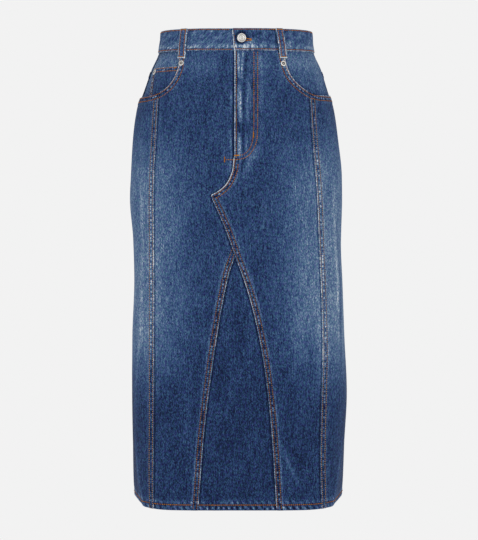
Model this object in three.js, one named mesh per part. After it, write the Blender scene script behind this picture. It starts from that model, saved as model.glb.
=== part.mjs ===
import * as THREE from 'three';

// Denim midi skirt, buttoned and zipped, keeping the hollow form it has when worn.
// Millimetres, +Z up. The front faces -Y and the wearer's right side is at -X.
// The origin is the centre of the waist, level with the middle of the waistband at the sides.
// A place on the cloth is (u, z): u is the length round the form from the centre front, positive
// towards the wearer's left, and z is the height at the side. The front hangs lower than that and
// the back higher, as far as the level leans.

// Driving dimensions
const bandTop = 17.5;
const bandBottom = -17.5;
const hemLevel = -772;
const cloth = 1.2;
const seamGap = 0.3;
const layerGap = 0.6;
const bandThickness = 2.4;
const bandProud = 0.9;
const bandUnderlap = 42;
const bandEnd = { top: -6.5, bottom: -3 };
const flyEdge = -2.7;
const flyBottom = -199;
const cornerLevel = -265.8;
const goreTip = -364;
const goreTop = -367;
const seamBand = 8;
const seamEase = 3;
const seamLift = 0.8;
const hemTurn = 12;
const hemStep = 2;
const hemThickness = 3;
const panelTop = bandBottom - seamGap;

// The form's size, a row for each level: half widths to the wearer's right and left, and depths to
// the front and back of the sides
const formSizes = [
  { z: bandTop, right: 127.5, left: 129, front: 95, back: 92 },
  { z: -14, right: 131, left: 132.2, front: 98, back: 97 },
  { z: -45, right: 144, left: 145, front: 103, back: 108 },
  { z: -80, right: 156.5, left: 156, front: 108, back: 118 },
  { z: -115, right: 168.5, left: 166.3, front: 112, back: 126 },
  { z: -165, right: 175, left: 173.3, front: 115, back: 131 },
  { z: -230, right: 178.5, left: 179.7, front: 117, back: 130 },
  { z: -267, right: 180, left: 180, front: 119, back: 128 },
  { z: -335, right: 175.2, left: 178.5, front: 121, back: 126 },
  { z: -405, right: 173.5, left: 181.5, front: 124, back: 126 },
  { z: -505, right: 176.5, left: 185, front: 128, back: 127 },
  { z: -590, right: 176.5, left: 188.5, front: 131, back: 129 },
  { z: -675, right: 176, left: 185, front: 134, back: 131 },
  { z: -745, right: 175, left: 182.5, front: 137, back: 133 },
  { z: hemLevel, right: 172.5, left: 180.5, front: 137, back: 133 },
];
// The form's shape at the same levels: how square the front and back halves are (2 is an ellipse),
// how far the sides draw in towards the front, as a share of the width, and how far the level
// leans back
const formShape = [
  { z: bandTop, squareFront: 2.6, squareBack: 2.4, taper: 0, lean: 0.1 },
  { z: -14, squareFront: 2.6, squareBack: 2.4, taper: 0, lean: 0.115 },
  { z: -45, squareFront: 2.6, squareBack: 2.4, taper: 0, lean: 0.105 },
  { z: -80, squareFront: 2.6, squareBack: 2.4, taper: 0, lean: 0.085 },
  { z: -115, squareFront: 2.6, squareBack: 2.45, taper: 0, lean: 0.06 },
  { z: -165, squareFront: 2.65, squareBack: 2.5, taper: 0, lean: 0.03 },
  { z: -230, squareFront: 2.7, squareBack: 2.55, taper: 0, lean: 0.01 },
  { z: -267, squareFront: 2.75, squareBack: 2.6, taper: 0, lean: 0 },
  { z: -335, squareFront: 2.8, squareBack: 2.6, taper: 0.01, lean: 0 },
  { z: -405, squareFront: 2.9, squareBack: 2.65, taper: 0.015, lean: 0 },
  { z: -505, squareFront: 3.1, squareBack: 2.7, taper: 0.02, lean: 0 },
  { z: -590, squareFront: 3.4, squareBack: 2.8, taper: 0.03, lean: 0 },
  { z: -675, squareFront: 4, squareBack: 2.9, taper: 0.06, lean: 0 },
  { z: -745, squareFront: 5.2, squareBack: 3.1, taper: 0.13, lean: 0 },
  { z: hemLevel, squareFront: 6.3, squareBack: 3.2, taper: 0.17, lean: 0 },
];

// Soft ridges and troughs of the hanging cloth. Each runs from its upper to its lower end, u going
// from the centre front (front) or from the centre back (back, with the wearer's right positive).
const folds = [
  { from: 'front', uHigh: -161, zHigh: -330, uLow: -170, zLow: -510, width: 14, depth: 2.2 },
  { from: 'front', uHigh: -198, zHigh: -640, uLow: -162, zLow: -775, width: 13, depth: 2.4 },
  { from: 'front', uHigh: -214, zHigh: -250, uLow: -222, zLow: -560, width: 17, depth: -1.8 },
  { from: 'front', uHigh: 164, zHigh: -290, uLow: 200, zLow: -480, width: 14, depth: 2.4 },
  { from: 'front', uHigh: 212, zHigh: -640, uLow: 170, zLow: -775, width: 13, depth: 2.6 },
  { from: 'front', uHigh: 224, zHigh: -330, uLow: 228, zLow: -610, width: 18, depth: -2.6 },
  { from: 'back', uHigh: -196, zHigh: -300, uLow: -168, zLow: -470, width: 17, depth: 2.3 },
  { from: 'back', uHigh: 188, zHigh: -270, uLow: 176, zLow: -500, width: 15, depth: 2 },
  { from: 'back', uHigh: -172, zHigh: -610, uLow: -188, zLow: -775, width: 16, depth: 2.2 },
  { from: 'back', uHigh: 160, zHigh: -650, uLow: 184, zLow: -775, width: 14, depth: 2.5 },
  { from: 'back', uHigh: -60, zHigh: -300, uLow: -40, zLow: -420, width: 20, depth: -1.6 },
  { from: 'back', uHigh: 56, zHigh: -310, uLow: 70, zLow: -440, width: 18, depth: -1.4 },
];

// Seam lines as u at a height, read down the skirt
const crotchCurve = [
  { z: flyBottom, u: flyEdge },
  { z: -207.5, u: -3.9 },
  { z: -222, u: -5.2 },
  { z: -230, u: -7.4 },
  { z: -239.5, u: -11.1 },
  { z: -249, u: -16.9 },
  { z: -256, u: -24.1 },
  { z: -262, u: -32.6 },
  { z: cornerLevel, u: -41 },
];
const leftInnerSeam = [
  { z: cornerLevel, u: -41 },
  { z: -326, u: -14.9 },
  { z: goreTip, u: -1.3 },
  { z: -415, u: 17 },
  { z: -472, u: 32.5 },
  { z: -548, u: 46.6 },
  { z: -647, u: 57.5 },
  { z: hemLevel, u: 65.3 },
];
const rightInnerSeam = [
  { z: goreTip, u: -1.3 },
  { z: -393, u: -11 },
  { z: -448, u: -22.7 },
  { z: -548, u: -38.5 },
  { z: -647, u: -50.8 },
  { z: hemLevel, u: -60.5 },
];
const rightSideSeam = [
  { z: panelTop, u: -130.5 },
  { z: -89, u: -131.6 },
  { z: -167, u: -133.9 },
  { z: -232, u: -137.4 },
  { z: -354, u: -138.2 },
  { z: -484, u: -136.9 },
  { z: -662, u: -134.9 },
  { z: hemLevel, u: -135.1 },
];
const leftSideSeam = [
  { z: panelTop, u: 124.5 },
  { z: -89, u: 125.5 },
  { z: -149, u: 127 },
  { z: -239, u: 133.9 },
  { z: -304, u: 138.2 },
  { z: -506, u: 144.5 },
  { z: -600, u: 140.6 },
  { z: -698, u: 137.8 },
  { z: hemLevel, u: 141 },
];
const rightMouth = [
  { z: panelTop, u: -95.6 },
  { z: -42, u: -95.8 },
  { z: -53.3, u: -99.1 },
  { z: -66.6, u: -105.2 },
  { z: -76.3, u: -112.5 },
  { z: -84.1, u: -122.1 },
  { z: -89, u: -131.6 },
];
const leftMouth = [
  { z: panelTop, u: 78.8 },
  { z: -38, u: 83 },
  { z: -53.9, u: 88.2 },
  { z: -67.2, u: 96.6 },
  { z: -77.6, u: 107.3 },
  { z: -85.4, u: 118.4 },
  { z: -89, u: 125.5 },
];
const flyCurve = [
  { z: panelTop, u: 35.7 },
  { z: -139, u: 35.3 },
  { z: -169, u: 34.4 },
  { z: -179, u: 32.6 },
  { z: -191, u: 26.9 },
  { z: -202, u: 17.7 },
  { z: -206, u: 6 },
];

// A smooth curve through the rows of a table, without overshoot between them
function curveThrough(rows, across, value) {
  const points = rows.map((row) => [row[across], row[value]]).sort((a, b) => a[0] - b[0]);
  const last = points.length - 1;
  const slopes = points.slice(1).map((p, i) => (p[1] - points[i][1]) / (p[0] - points[i][0]));
  const tangents = points.map((p, i) => {
    if (i === 0) return slopes[0];
    if (i === last) return slopes[last - 1];
    if (slopes[i - 1] * slopes[i] <= 0) return 0;
    const before = points[i][0] - points[i - 1][0];
    const after = points[i + 1][0] - points[i][0];
    const nearBefore = before + 2 * after;
    const nearAfter = 2 * before + after;
    return (nearBefore + nearAfter) / (nearBefore / slopes[i - 1] + nearAfter / slopes[i]);
  });
  return (at) => {
    const x = THREE.MathUtils.clamp(at, points[0][0], points[last][0]);
    let i = 0;
    while (i < last - 1 && x > points[i + 1][0]) i += 1;
    const step = points[i + 1][0] - points[i][0];
    const t = (x - points[i][0]) / step;
    const start = points[i][1] * (1 + 2 * t) * (1 - t) ** 2 + step * tangents[i] * t * (1 - t) ** 2;
    return start + points[i + 1][1] * t * t * (3 - 2 * t) + step * tangents[i + 1] * t * t * (t - 1);
  };
}

const form = {};
for (const table of [formSizes, formShape]) {
  for (const key of Object.keys(table[0]).slice(1)) {
    form[key] = curveThrough(table, 'z', key);
  }
}

function ringPoint(level, turn) {
  const sine = Math.sin(turn);
  const cosine = Math.cos(turn);
  const width = sine > 0 ? level.left : level.right;
  const depth = cosine > 0 ? level.front : level.back;
  const square = cosine > 0 ? level.squareFront : level.squareBack;
  const reach = (Math.abs(sine / width) ** square + Math.abs(cosine / depth) ** square)
    ** (-1 / square);
  const y = -reach * cosine;
  const taper = cosine > 0 ? level.taper : level.taper / 2;
  const x = reach * sine * (1 - (taper * Math.abs(y)) / depth);
  return new THREE.Vector3(x, y, level.z + level.lean * y);
}

// Each level's ring is walked once, to know how far round every turn is
const ringSteps = 720;
const ringCache = new Map();
function ringAt(z) {
  if (!ringCache.has(z)) {
    const level = { z };
    for (const key of Object.keys(form)) level[key] = form[key](z);
    const lengths = [0];
    let previous = ringPoint(level, -Math.PI);
    for (let i = 1; i <= ringSteps; i += 1) {
      const next = ringPoint(level, -Math.PI + (2 * Math.PI * i) / ringSteps);
      lengths.push(lengths[i - 1] + next.distanceTo(previous));
      previous = next;
    }
    const front = lengths[ringSteps / 2];
    const girth = lengths[ringSteps];
    const side = ringSteps / 4;
    ringCache.set(z, {
      level,
      lengths,
      front,
      girth,
      backRight: -front,
      backLeft: girth - front,
      sideRight: lengths[side] - front,
      sideLeft: lengths[3 * side] - front,
    });
  }
  return ringCache.get(z);
}

function pointOnForm(u, z) {
  const ring = ringAt(z);
  let along = u + ring.front;
  along -= Math.floor(along / ring.girth) * ring.girth;
  let low = 0;
  let high = ringSteps;
  while (high - low > 1) {
    const middle = (low + high) >> 1;
    if (ring.lengths[middle] > along) high = middle;
    else low = middle;
  }
  const part = (along - ring.lengths[low]) / (ring.lengths[high] - ring.lengths[low]);
  return ringPoint(ring.level, -Math.PI + (2 * Math.PI * (low + part)) / ringSteps);
}

function frameOnForm(u, z) {
  const reach = 1;
  const across = pointOnForm(u + reach, z).sub(pointOnForm(u - reach, z)).normalize();
  const up = pointOnForm(u, z + reach).sub(pointOnForm(u, z - reach));
  const out = new THREE.Vector3().crossVectors(across, up).normalize();
  return { point: pointOnForm(u, z), across, out, up: new THREE.Vector3().crossVectors(out, across) };
}

function foldDepth(u, z) {
  const ring = ringAt(z);
  let total = 0;
  for (const fold of folds) {
    const t = (z - fold.zHigh) / (fold.zLow - fold.zHigh);
    if (t <= 0 || t >= 1) continue;
    const middle = fold.uHigh + t * (fold.uLow - fold.uHigh);
    let away = u - middle;
    if (fold.from === 'back') away = u > 0 ? u - ring.backLeft - middle : u - ring.backRight - middle;
    if (fold.from === 'back' && Math.abs(u) < ring.sideLeft / 2) continue;
    const reachesHem = fold.zLow < hemLevel;
    const fade = reachesHem ? Math.sin((Math.PI * t) / 2) : Math.sin(Math.PI * t);
    total += fold.depth * fade * Math.exp(-((away / fold.width) ** 2));
  }
  return total;
}

function clothPoint(u, z, offset) {
  const frame = frameOnForm(u, z);
  return frame.point.addScaledVector(frame.out, offset + foldDepth(u, z));
}

// Heights of a panel's rows, closer where a seam line turns
const rowStretches = [
  { to: -53, steps: 3 },
  { to: -91, steps: 5 },
  { to: -140, steps: 4 },
  { to: flyBottom, steps: 3 },
  { to: -239.5, steps: 3 },
  { to: cornerLevel, steps: 4 },
  { to: goreTip, steps: 4 },
  { to: goreTop, steps: 1 },
  { to: -548, steps: 5 },
  { to: hemLevel + hemTurn, steps: 7 },
  { to: hemLevel + hemTurn - hemStep, steps: 1 },
  { to: hemLevel, steps: 1 },
];
function rowHeights(top, bottom, stretches = rowStretches) {
  const heights = [];
  let from = panelTop;
  for (const stretch of stretches) {
    for (let i = 0; i < stretch.steps; i += 1) {
      heights.push(from + ((stretch.to - from) * i) / stretch.steps);
    }
    from = stretch.to;
  }
  heights.push(from);
  const clear = 1;
  return [top, ...heights.filter((z) => z < top - clear && z > bottom + clear), bottom];
}

function evenSteps(count) {
  return Array.from({ length: count + 1 }, (_, i) => i / count);
}

// Column places across a panel of some width, with extra ones beside a lapped edge
function columnPlaces(count, width, lapLeft, lapRight) {
  const places = evenSteps(count);
  const clear = 0.02;
  const near = [seamBand / width, (seamBand + seamEase) / width];
  const keepLeft = lapLeft ? near[1] + clear : 0;
  const keepRight = lapRight ? 1 - near[1] - clear : 1;
  const kept = places.filter((s) => s === 0 || s === 1 || (s > keepLeft && s < keepRight));
  if (lapLeft) kept.push(...near);
  if (lapRight) kept.push(1 - near[0], 1 - near[1]);
  return kept.sort((a, b) => a - b);
}

function meshFrom(name, positions, triangles, material) {
  const geometry = new THREE.BufferGeometry();
  geometry.setAttribute('position', new THREE.Float32BufferAttribute(positions, 3));
  geometry.setIndex(triangles);
  geometry.computeVertexNormals();
  const mesh = new THREE.Mesh(geometry, material);
  mesh.name = name;
  return mesh;
}

// A cloth wall over a grid of places: outer(u, z) and inner(u, z) are its two faces' offsets
function wall(name, material, rows, columns, placeAt, outer, inner) {
  const positions = [];
  const faces = [outer, inner];
  for (const offset of faces) {
    for (let i = 0; i < rows; i += 1) {
      for (let j = 0; j < columns; j += 1) {
        const place = placeAt(i, j);
        positions.push(...clothPoint(place.u, place.z, offset(place.u, place.z, place)).toArray());
      }
    }
  }
  const at = (face, i, j) => (face * rows + i) * columns + j;
  const triangles = [];
  const quad = (a, b, c, d) => triangles.push(a, b, c, a, c, d);
  for (let i = 0; i < rows - 1; i += 1) {
    for (let j = 0; j < columns - 1; j += 1) {
      quad(at(0, i, j), at(0, i + 1, j), at(0, i + 1, j + 1), at(0, i, j + 1));
      quad(at(1, i, j), at(1, i, j + 1), at(1, i + 1, j + 1), at(1, i + 1, j));
    }
  }
  for (let j = 0; j < columns - 1; j += 1) {
    quad(at(0, 0, j), at(0, 0, j + 1), at(1, 0, j + 1), at(1, 0, j));
    quad(at(0, rows - 1, j + 1), at(0, rows - 1, j), at(1, rows - 1, j), at(1, rows - 1, j + 1));
  }
  for (let i = 0; i < rows - 1; i += 1) {
    quad(at(0, i + 1, 0), at(0, i, 0), at(1, i, 0), at(1, i + 1, 0));
    quad(at(0, i, columns - 1), at(0, i + 1, columns - 1), at(1, i + 1, columns - 1), at(1, i, columns - 1));
  }
  return meshFrom(name, positions, triangles, material);
}

// A panel between a left and a right edge, each a u at a height, and a top and a bottom, each a
// height at a share of the width. Its edges are drawn in by half the seam gap.
function panel({ name, material, left, right, top, bottom, heights, places, outer, inner }) {
  const slope = (edge, z) => (edge(z + 0.5) - edge(z - 0.5));
  const drawIn = (edge, z) => (seamGap / 2) * Math.hypot(1, slope(edge, z));
  const span = heights[heights.length - 1] - heights[0];
  const placeAt = (i, j) => {
    const s = places[j];
    const t = (heights[i] - heights[0]) / span;
    const z = top(s) + t * (bottom(s) - top(s));
    const from = left(z) + drawIn(left, z);
    const to = right(z) - drawIn(right, z);
    return { u: from + s * (to - from), z, s, t };
  };
  return wall(name, material, heights.length, places.length, placeAt, outer, inner);
}

const joined = (...edges) => (z) => edges.find((edge) => z >= edge.until).curve(z);
const crotch = curveThrough(crotchCurve, 'z', 'u');
const leftInner = curveThrough(leftInnerSeam, 'z', 'u');
const rightInner = curveThrough(rightInnerSeam, 'z', 'u');
const rightSide = curveThrough(rightSideSeam, 'z', 'u');
const leftSide = curveThrough(leftSideSeam, 'z', 'u');
const rightMouthEdge = curveThrough(rightMouth, 'z', 'u');
const leftMouthEdge = curveThrough(leftMouth, 'z', 'u');
const flyFacingEdge = curveThrough(flyCurve, 'z', 'u');
const mouthLevel = -89;
const frontLeftInner = joined(
  { until: flyBottom, curve: () => flyEdge },
  { until: cornerLevel, curve: crotch },
  { until: -Infinity, curve: leftInner },
);
const frontRightInner = joined(
  { until: flyBottom, curve: () => flyEdge },
  { until: cornerLevel, curve: crotch },
  { until: goreTip, curve: leftInner },
  { until: -Infinity, curve: rightInner },
);
const frontRightOuter = joined(
  { until: mouthLevel, curve: rightMouthEdge },
  { until: -Infinity, curve: rightSide },
);
const frontLeftOuter = joined(
  { until: mouthLevel, curve: leftMouthEdge },
  { until: -Infinity, curve: leftSide },
);
const sideRight = (z) => ringAt(z).sideRight;
const sideLeft = (z) => ringAt(z).sideLeft;
const backRight = (z) => ringAt(z).backRight;
const backLeft = (z) => ringAt(z).backLeft;

// The lower edge of each pocket mouth, on from the side front's seam to the side of the skirt
const rightMouthFloor = curveThrough([
  { u: -131.6, z: -89 },
  { u: -148.7, z: -93.4 },
  { u: -164, z: -94.5 },
  { u: -226, z: -95 },
], 'u', 'z');
const leftMouthFloor = curveThrough([
  { u: 125.5, z: -89 },
  { u: 135, z: -92 },
  { u: 149, z: -93.4 },
  { u: 226, z: -91 },
], 'u', 'z');

// How proud the cloth stands beside a lapped or turned edge, from the distance to it
function lift(distance) {
  return seamLift * (1 - THREE.MathUtils.smoothstep(distance, seamBand, seamBand + seamEase));
}
function edgeDistance(edge, u, z) {
  const slope = edge(z + 0.5) - edge(z - 0.5);
  return Math.abs(u - edge(z)) / Math.hypot(1, slope);
}
const hemInner = (u, z) => (z < hemLevel + hemTurn - hemStep / 2 ? -hemThickness : -cloth);

function denim(color) {
  return new THREE.MeshStandardMaterial({ color, roughness: 0.9, metalness: 0 });
}
function nickel() {
  return new THREE.MeshStandardMaterial({ color: 0xc9c8c4, roughness: 0.3, metalness: 1 });
}

const skirt = new THREE.Group();

function addFrontPanels() {
  skirt.add(panel({
    name: 'front_right',
    material: denim(0x34558a),
    left: frontRightOuter,
    right: frontRightInner,
    top: () => panelTop,
    bottom: () => hemLevel,
    heights: rowHeights(panelTop, hemLevel),
    places: columnPlaces(8, 130, false, true),
    outer: (u, z) => {
      const mouth = z > mouthLevel ? lift(edgeDistance(rightMouthEdge, u, z)) : 0;
      const lap = z < goreTip ? lift(edgeDistance(rightInner, u, z)) : 0;
      return Math.max(mouth, lap);
    },
    inner: hemInner,
  }));
  skirt.add(panel({
    name: 'front_left',
    material: denim(0x34558a),
    left: frontLeftInner,
    right: frontLeftOuter,
    top: () => panelTop,
    bottom: () => hemLevel,
    heights: rowHeights(panelTop, hemLevel),
    places: columnPlaces(8, 130, true, false),
    outer: (u, z) => {
      const mouth = z > mouthLevel ? lift(edgeDistance(leftMouthEdge, u, z)) : 0;
      return Math.max(mouth, lift(edgeDistance(frontLeftInner, u, z)));
    },
    inner: hemInner,
  }));
}

function addGore() {
  skirt.add(panel({
    name: 'gore',
    material: denim(0x2c4a7c),
    left: rightInner,
    right: leftInner,
    top: () => goreTop,
    bottom: () => hemLevel,
    heights: rowHeights(goreTop, hemLevel),
    places: evenSteps(6),
    outer: () => 0,
    inner: hemInner,
  }));
}

function addSideFronts() {
  const topGap = seamGap / 2;
  const top = mouthLevel;
  skirt.add(panel({
    name: 'side_front_right',
    material: denim(0x426699),
    left: sideRight,
    right: rightSide,
    top: (s) => rightMouthFloor(sideRight(top) + s * (rightSide(top) - sideRight(top))) - topGap,
    bottom: () => hemLevel,
    heights: rowHeights(top, hemLevel),
    places: columnPlaces(10, 110, false, true),
    outer: (u, z) => Math.max(lift(edgeDistance(rightSide, u, z)), lift(rightMouthFloor(u) - z)),
    inner: hemInner,
  }));
  skirt.add(panel({
    name: 'side_front_left',
    material: denim(0x426699),
    left: leftSide,
    right: sideLeft,
    top: (s) => leftMouthFloor(leftSide(top) + s * (sideLeft(top) - leftSide(top))) - topGap,
    bottom: () => hemLevel,
    heights: rowHeights(top, hemLevel),
    places: columnPlaces(10, 110, true, false),
    outer: (u, z) => Math.max(lift(edgeDistance(leftSide, u, z)), lift(leftMouthFloor(u) - z)),
    inner: hemInner,
  }));
}

// The yoke seam falls from each side seam to the centre back
const yokeSide = -48;
const yokeCentre = -90;
const yokeSeam = (share) => yokeCentre + share * (yokeSide - yokeCentre);

function addBack() {
  const stretches = [
    { to: yokeSide, steps: 2 },
    { to: -200, steps: 6 },
    { to: hemLevel + hemTurn, steps: 15 },
    { to: hemLevel + hemTurn - hemStep, steps: 1 },
    { to: hemLevel, steps: 1 },
  ];
  const sides = [
    { name: 'right', left: backRight, right: sideRight, share: (s) => s },
    { name: 'left', left: sideLeft, right: backLeft, share: (s) => 1 - s },
  ];
  for (const side of sides) {
    const gap = seamGap / 2;
    const isLeft = side.name === 'left';
    skirt.add(panel({
      name: `yoke_${side.name}`,
      material: denim(0x365a8e),
      left: side.left,
      right: side.right,
      top: () => panelTop,
      bottom: (s) => yokeSeam(side.share(s)) + gap,
      heights: evenSteps(3),
      places: evenSteps(14),
      outer: () => 0,
      inner: () => -cloth,
    }));
    skirt.add(panel({
      name: `back_${side.name}`,
      material: denim(0x30508a),
      left: side.left,
      right: side.right,
      top: (s) => yokeSeam(side.share(s)) - gap,
      bottom: () => hemLevel,
      heights: rowHeights(yokeSide, hemLevel, stretches),
      places: columnPlaces(13, 240, false, isLeft),
      outer: (u, z, place) => {
        const yoke = lift(yokeSeam(side.share(place.s)) - z);
        const centre = isLeft ? lift(ringAt(z).backLeft - u) : 0;
        return Math.max(yoke, centre);
      },
      inner: hemInner,
    }));
  }
}

// The band's two ends pass each other at the front, the wearer's left end on top
const bandShift = (bandThickness + seamGap) / 2;
const bandLapEnd = 46;
const bandEase = 40;
const underlapEase = { from: 55, to: 12 };
function bandOffset(u) {
  const top = bandShift * (1 - THREE.MathUtils.smoothstep(u, bandLapEnd, bandLapEnd + bandEase));
  return u > bandEnd.top ? top : 0;
}
function bandOuter(u) {
  return bandProud + bandOffset(u);
}

function addWaistband() {
  const heights = [bandTop, (bandTop + bandBottom) / 2, bandBottom];
  const columns = 84;
  const shiftAt = (unwrapped, girth) => {
    const easeFrom = girth - underlapEase.from;
    const under = THREE.MathUtils.smoothstep(unwrapped, easeFrom, girth - underlapEase.to);
    return bandOffset(Math.min(unwrapped, girth / 2)) - bandShift * under;
  };
  const placeAt = (i, j) => {
    const z = heights[i];
    const girth = ringAt(z).girth;
    const start = THREE.MathUtils.mapLinear(z, bandTop, bandBottom, bandEnd.top, bandEnd.bottom);
    const unwrapped = start + (j / columns) * (girth + bandUnderlap - start);
    return { u: unwrapped, z, girth };
  };
  const outer = (u, z, place) => bandProud + shiftAt(u, place.girth);
  const inner = (u, z, place) => outer(u, z, place) - bandThickness;
  skirt.add(wall('waistband', denim(0x3a5c90), heights.length, columns + 1, placeAt, outer, inner));
}

// A belt loop lies close over the band and is caught below it
const loopWidth = 12.2;
const loopThickness = 1.8;
const loopBottom = -30.8;
function addBeltLoops() {
  const ring = ringAt(0);
  const backPlace = 78;
  const backSlant = 6;
  const rightTop = ring.sideRight - backPlace;
  const leftTop = ring.sideLeft + backPlace;
  const loops = [
    { name: 'belt_loop_front_right', top: -86.1, bottom: -90.8, width: 13.4 },
    { name: 'belt_loop_front_left', top: 70.8, bottom: 78.9 },
    { name: 'belt_loop_back_right', top: rightTop, bottom: rightTop - backSlant },
    { name: 'belt_loop_back_left', top: leftTop, bottom: leftTop + backSlant },
    { name: 'belt_loop_back_centre', top: ring.backLeft, bottom: ring.backLeft + backSlant },
  ];
  const profile = [
    { z: 17.5, stand: 0.4 },
    { z: 11, stand: 1.2 },
    { z: 2, stand: 1.7 },
    { z: -8, stand: 1.5 },
    { z: -16, stand: 0.9 },
    { z: -20, stand: 0.2 },
    { z: -24, stand: -0.35 },
    { z: loopBottom, stand: -0.4 },
  ];
  for (const loop of loops) {
    const width = loop.width ?? loopWidth;
    const baseOffset = bandOuter(loop.top);
    const placeAt = (i, j) => {
      const z = profile[i].z;
      const t = (bandTop - z) / (bandTop - loopBottom);
      const middle = loop.top + t * (loop.bottom - loop.top);
      return { u: middle + (j / 3 - 0.5) * width, z, stand: profile[i].stand };
    };
    const inner = (u, z, place) => {
      const base = z > bandBottom - 4 ? baseOffset : bandProud;
      return base + layerGap + place.stand;
    };
    const outer = (u, z, place) => inner(u, z, place) + loopThickness;
    skirt.add(wall(loop.name, denim(0x45689c), profile.length, 4, placeAt, outer, inner));
  }
}

// A facing shows inside each front pocket's mouth, and a plain bag hangs from its lower edge. Each
// edge is a u at its top and at its bottom.
const facingBottom = -112;
const bagCorner = -208;
const bagDrop = 30;
const coinDepth = -cloth - layerGap;
const edgeFrom = (top, bottom, ends) => (z) => (
  THREE.MathUtils.mapLinear(z, top, bottom, ends.top, ends.bottom)
);
function addFrontPockets() {
  const pockets = [
    {
      name: 'right',
      depth: coinDepth - cloth - layerGap,
      side: sideRight,
      facing: { top: -82, bottom: -104 },
      bagInner: { top: -104, bottom: -118 },
      bagOuter: { top: -216, bottom: -190 },
    },
    {
      name: 'left',
      depth: -cloth - layerGap,
      side: sideLeft,
      facing: { top: 66, bottom: 98 },
      bagInner: { top: 98, bottom: 112 },
      bagOuter: { top: 214, bottom: 188 },
    },
  ];
  for (const pocket of pockets) {
    const isRight = pocket.name === 'right';
    const facingEdge = edgeFrom(panelTop, facingBottom, pocket.facing);
    const bagBottom = bagCorner - bagDrop;
    const bagInner = edgeFrom(facingBottom, bagBottom, pocket.bagInner);
    const bagOuter = edgeFrom(facingBottom, bagBottom, pocket.bagOuter);
    const outer = () => pocket.depth;
    const inner = () => pocket.depth - cloth;
    skirt.add(panel({
      name: `pocket_facing_${pocket.name}`,
      material: denim(0x3c6096),
      left: isRight ? pocket.side : facingEdge,
      right: isRight ? facingEdge : pocket.side,
      top: () => panelTop,
      bottom: () => facingBottom,
      heights: evenSteps(8),
      places: evenSteps(10),
      outer,
      inner,
    }));
    skirt.add(panel({
      name: `pocket_bag_${pocket.name}`,
      material: new THREE.MeshStandardMaterial({ color: 0xe4dfd0, roughness: 0.95, metalness: 0 }),
      left: isRight ? bagOuter : bagInner,
      right: isRight ? bagInner : bagOuter,
      top: () => facingBottom - seamGap,
      bottom: (s) => bagCorner - bagDrop * Math.sqrt(Math.sin(Math.PI * s)),
      heights: evenSteps(7),
      places: evenSteps(9),
      outer,
      inner,
    }));
  }
}

const coin = { top: -46.3, rise: 1.2, bottom: -99, outer: { top: -159.5, bottom: -154 }, inner: -93 };
function addCoinPocket() {
  skirt.add(panel({
    name: 'coin_pocket',
    material: denim(0x2c4878),
    left: edgeFrom(coin.top, coin.bottom, coin.outer),
    right: () => coin.inner,
    top: (s) => coin.top + coin.rise * s,
    bottom: () => coin.bottom,
    heights: evenSteps(6),
    places: evenSteps(8),
    outer: () => coinDepth,
    inner: () => coinDepth - cloth,
  }));
}

// Plain five-sided patch pockets, one on each back panel
const backPocket = { top: -112, width: 142, taper: 8, side: 118, point: 26, stand: 0.8 };
function addBackPockets() {
  const pockets = [
    { name: 'back_pocket_right', centre: (z) => (sideRight(z) + backRight(z)) / 2 },
    { name: 'back_pocket_left', centre: (z) => (sideLeft(z) + backLeft(z)) / 2 },
  ];
  const half = (z) => {
    const t = (backPocket.top - z) / (backPocket.side + backPocket.point);
    return backPocket.width / 2 - backPocket.taper * t;
  };
  for (const pocket of pockets) {
    const centre = pocket.centre(backPocket.top);
    skirt.add(panel({
      name: pocket.name,
      material: denim(0x34568c),
      left: (z) => centre - half(z),
      right: (z) => centre + half(z),
      top: () => backPocket.top,
      bottom: (s) => backPocket.top - backPocket.side - backPocket.point * (1 - Math.abs(2 * s - 1)),
      heights: evenSteps(6),
      places: evenSteps(10),
      outer: () => backPocket.stand + cloth,
      inner: () => backPocket.stand,
    }));
  }
}

// Behind the flap: a facing to its curved stitching, the zip's tape and the shield
const zip = { right: -12, left: 22, top: -37, bottom: -196, middle: 5 };
const tape = 1;
const facingDepth = -cloth - layerGap;
const tapeDepth = facingDepth - cloth - 1.5;
const shieldDepth = tapeDepth - tape - 1.1;
const shield = { right: -14, left: 30, bottom: -200 };
function addFly() {
  const strips = [
    {
      name: 'fly_facing', left: () => flyEdge, right: flyFacingEdge,
      top: panelTop, bottom: -206, depth: facingDepth, thickness: cloth, color: 0x30508a,
    },
    {
      name: 'zip_tape', left: () => zip.right, right: () => zip.left,
      top: zip.top, bottom: zip.bottom, depth: tapeDepth, thickness: tape, color: 0x25365a,
    },
    {
      name: 'fly_shield', left: () => shield.right, right: () => shield.left,
      top: panelTop, bottom: shield.bottom, depth: shieldDepth, thickness: cloth, color: 0x30508a,
    },
  ];
  for (const strip of strips) {
    skirt.add(panel({
      name: strip.name,
      material: denim(strip.color),
      left: strip.left,
      right: strip.right,
      top: () => strip.top,
      bottom: () => strip.bottom,
      heights: evenSteps(10),
      places: evenSteps(4),
      outer: () => strip.depth,
      inner: () => strip.depth - strip.thickness,
    }));
  }
}

// Turns a piece made with its face towards +Z onto the cloth, its own +Y up the skirt
function seat(mesh, u, z, offset) {
  const frame = frameOnForm(u, z);
  const basis = new THREE.Matrix4().makeBasis(frame.across, frame.up, frame.out);
  mesh.quaternion.setFromRotationMatrix(basis);
  mesh.position.copy(frame.point).addScaledVector(frame.out, offset + foldDepth(u, z));
  return mesh;
}

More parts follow.
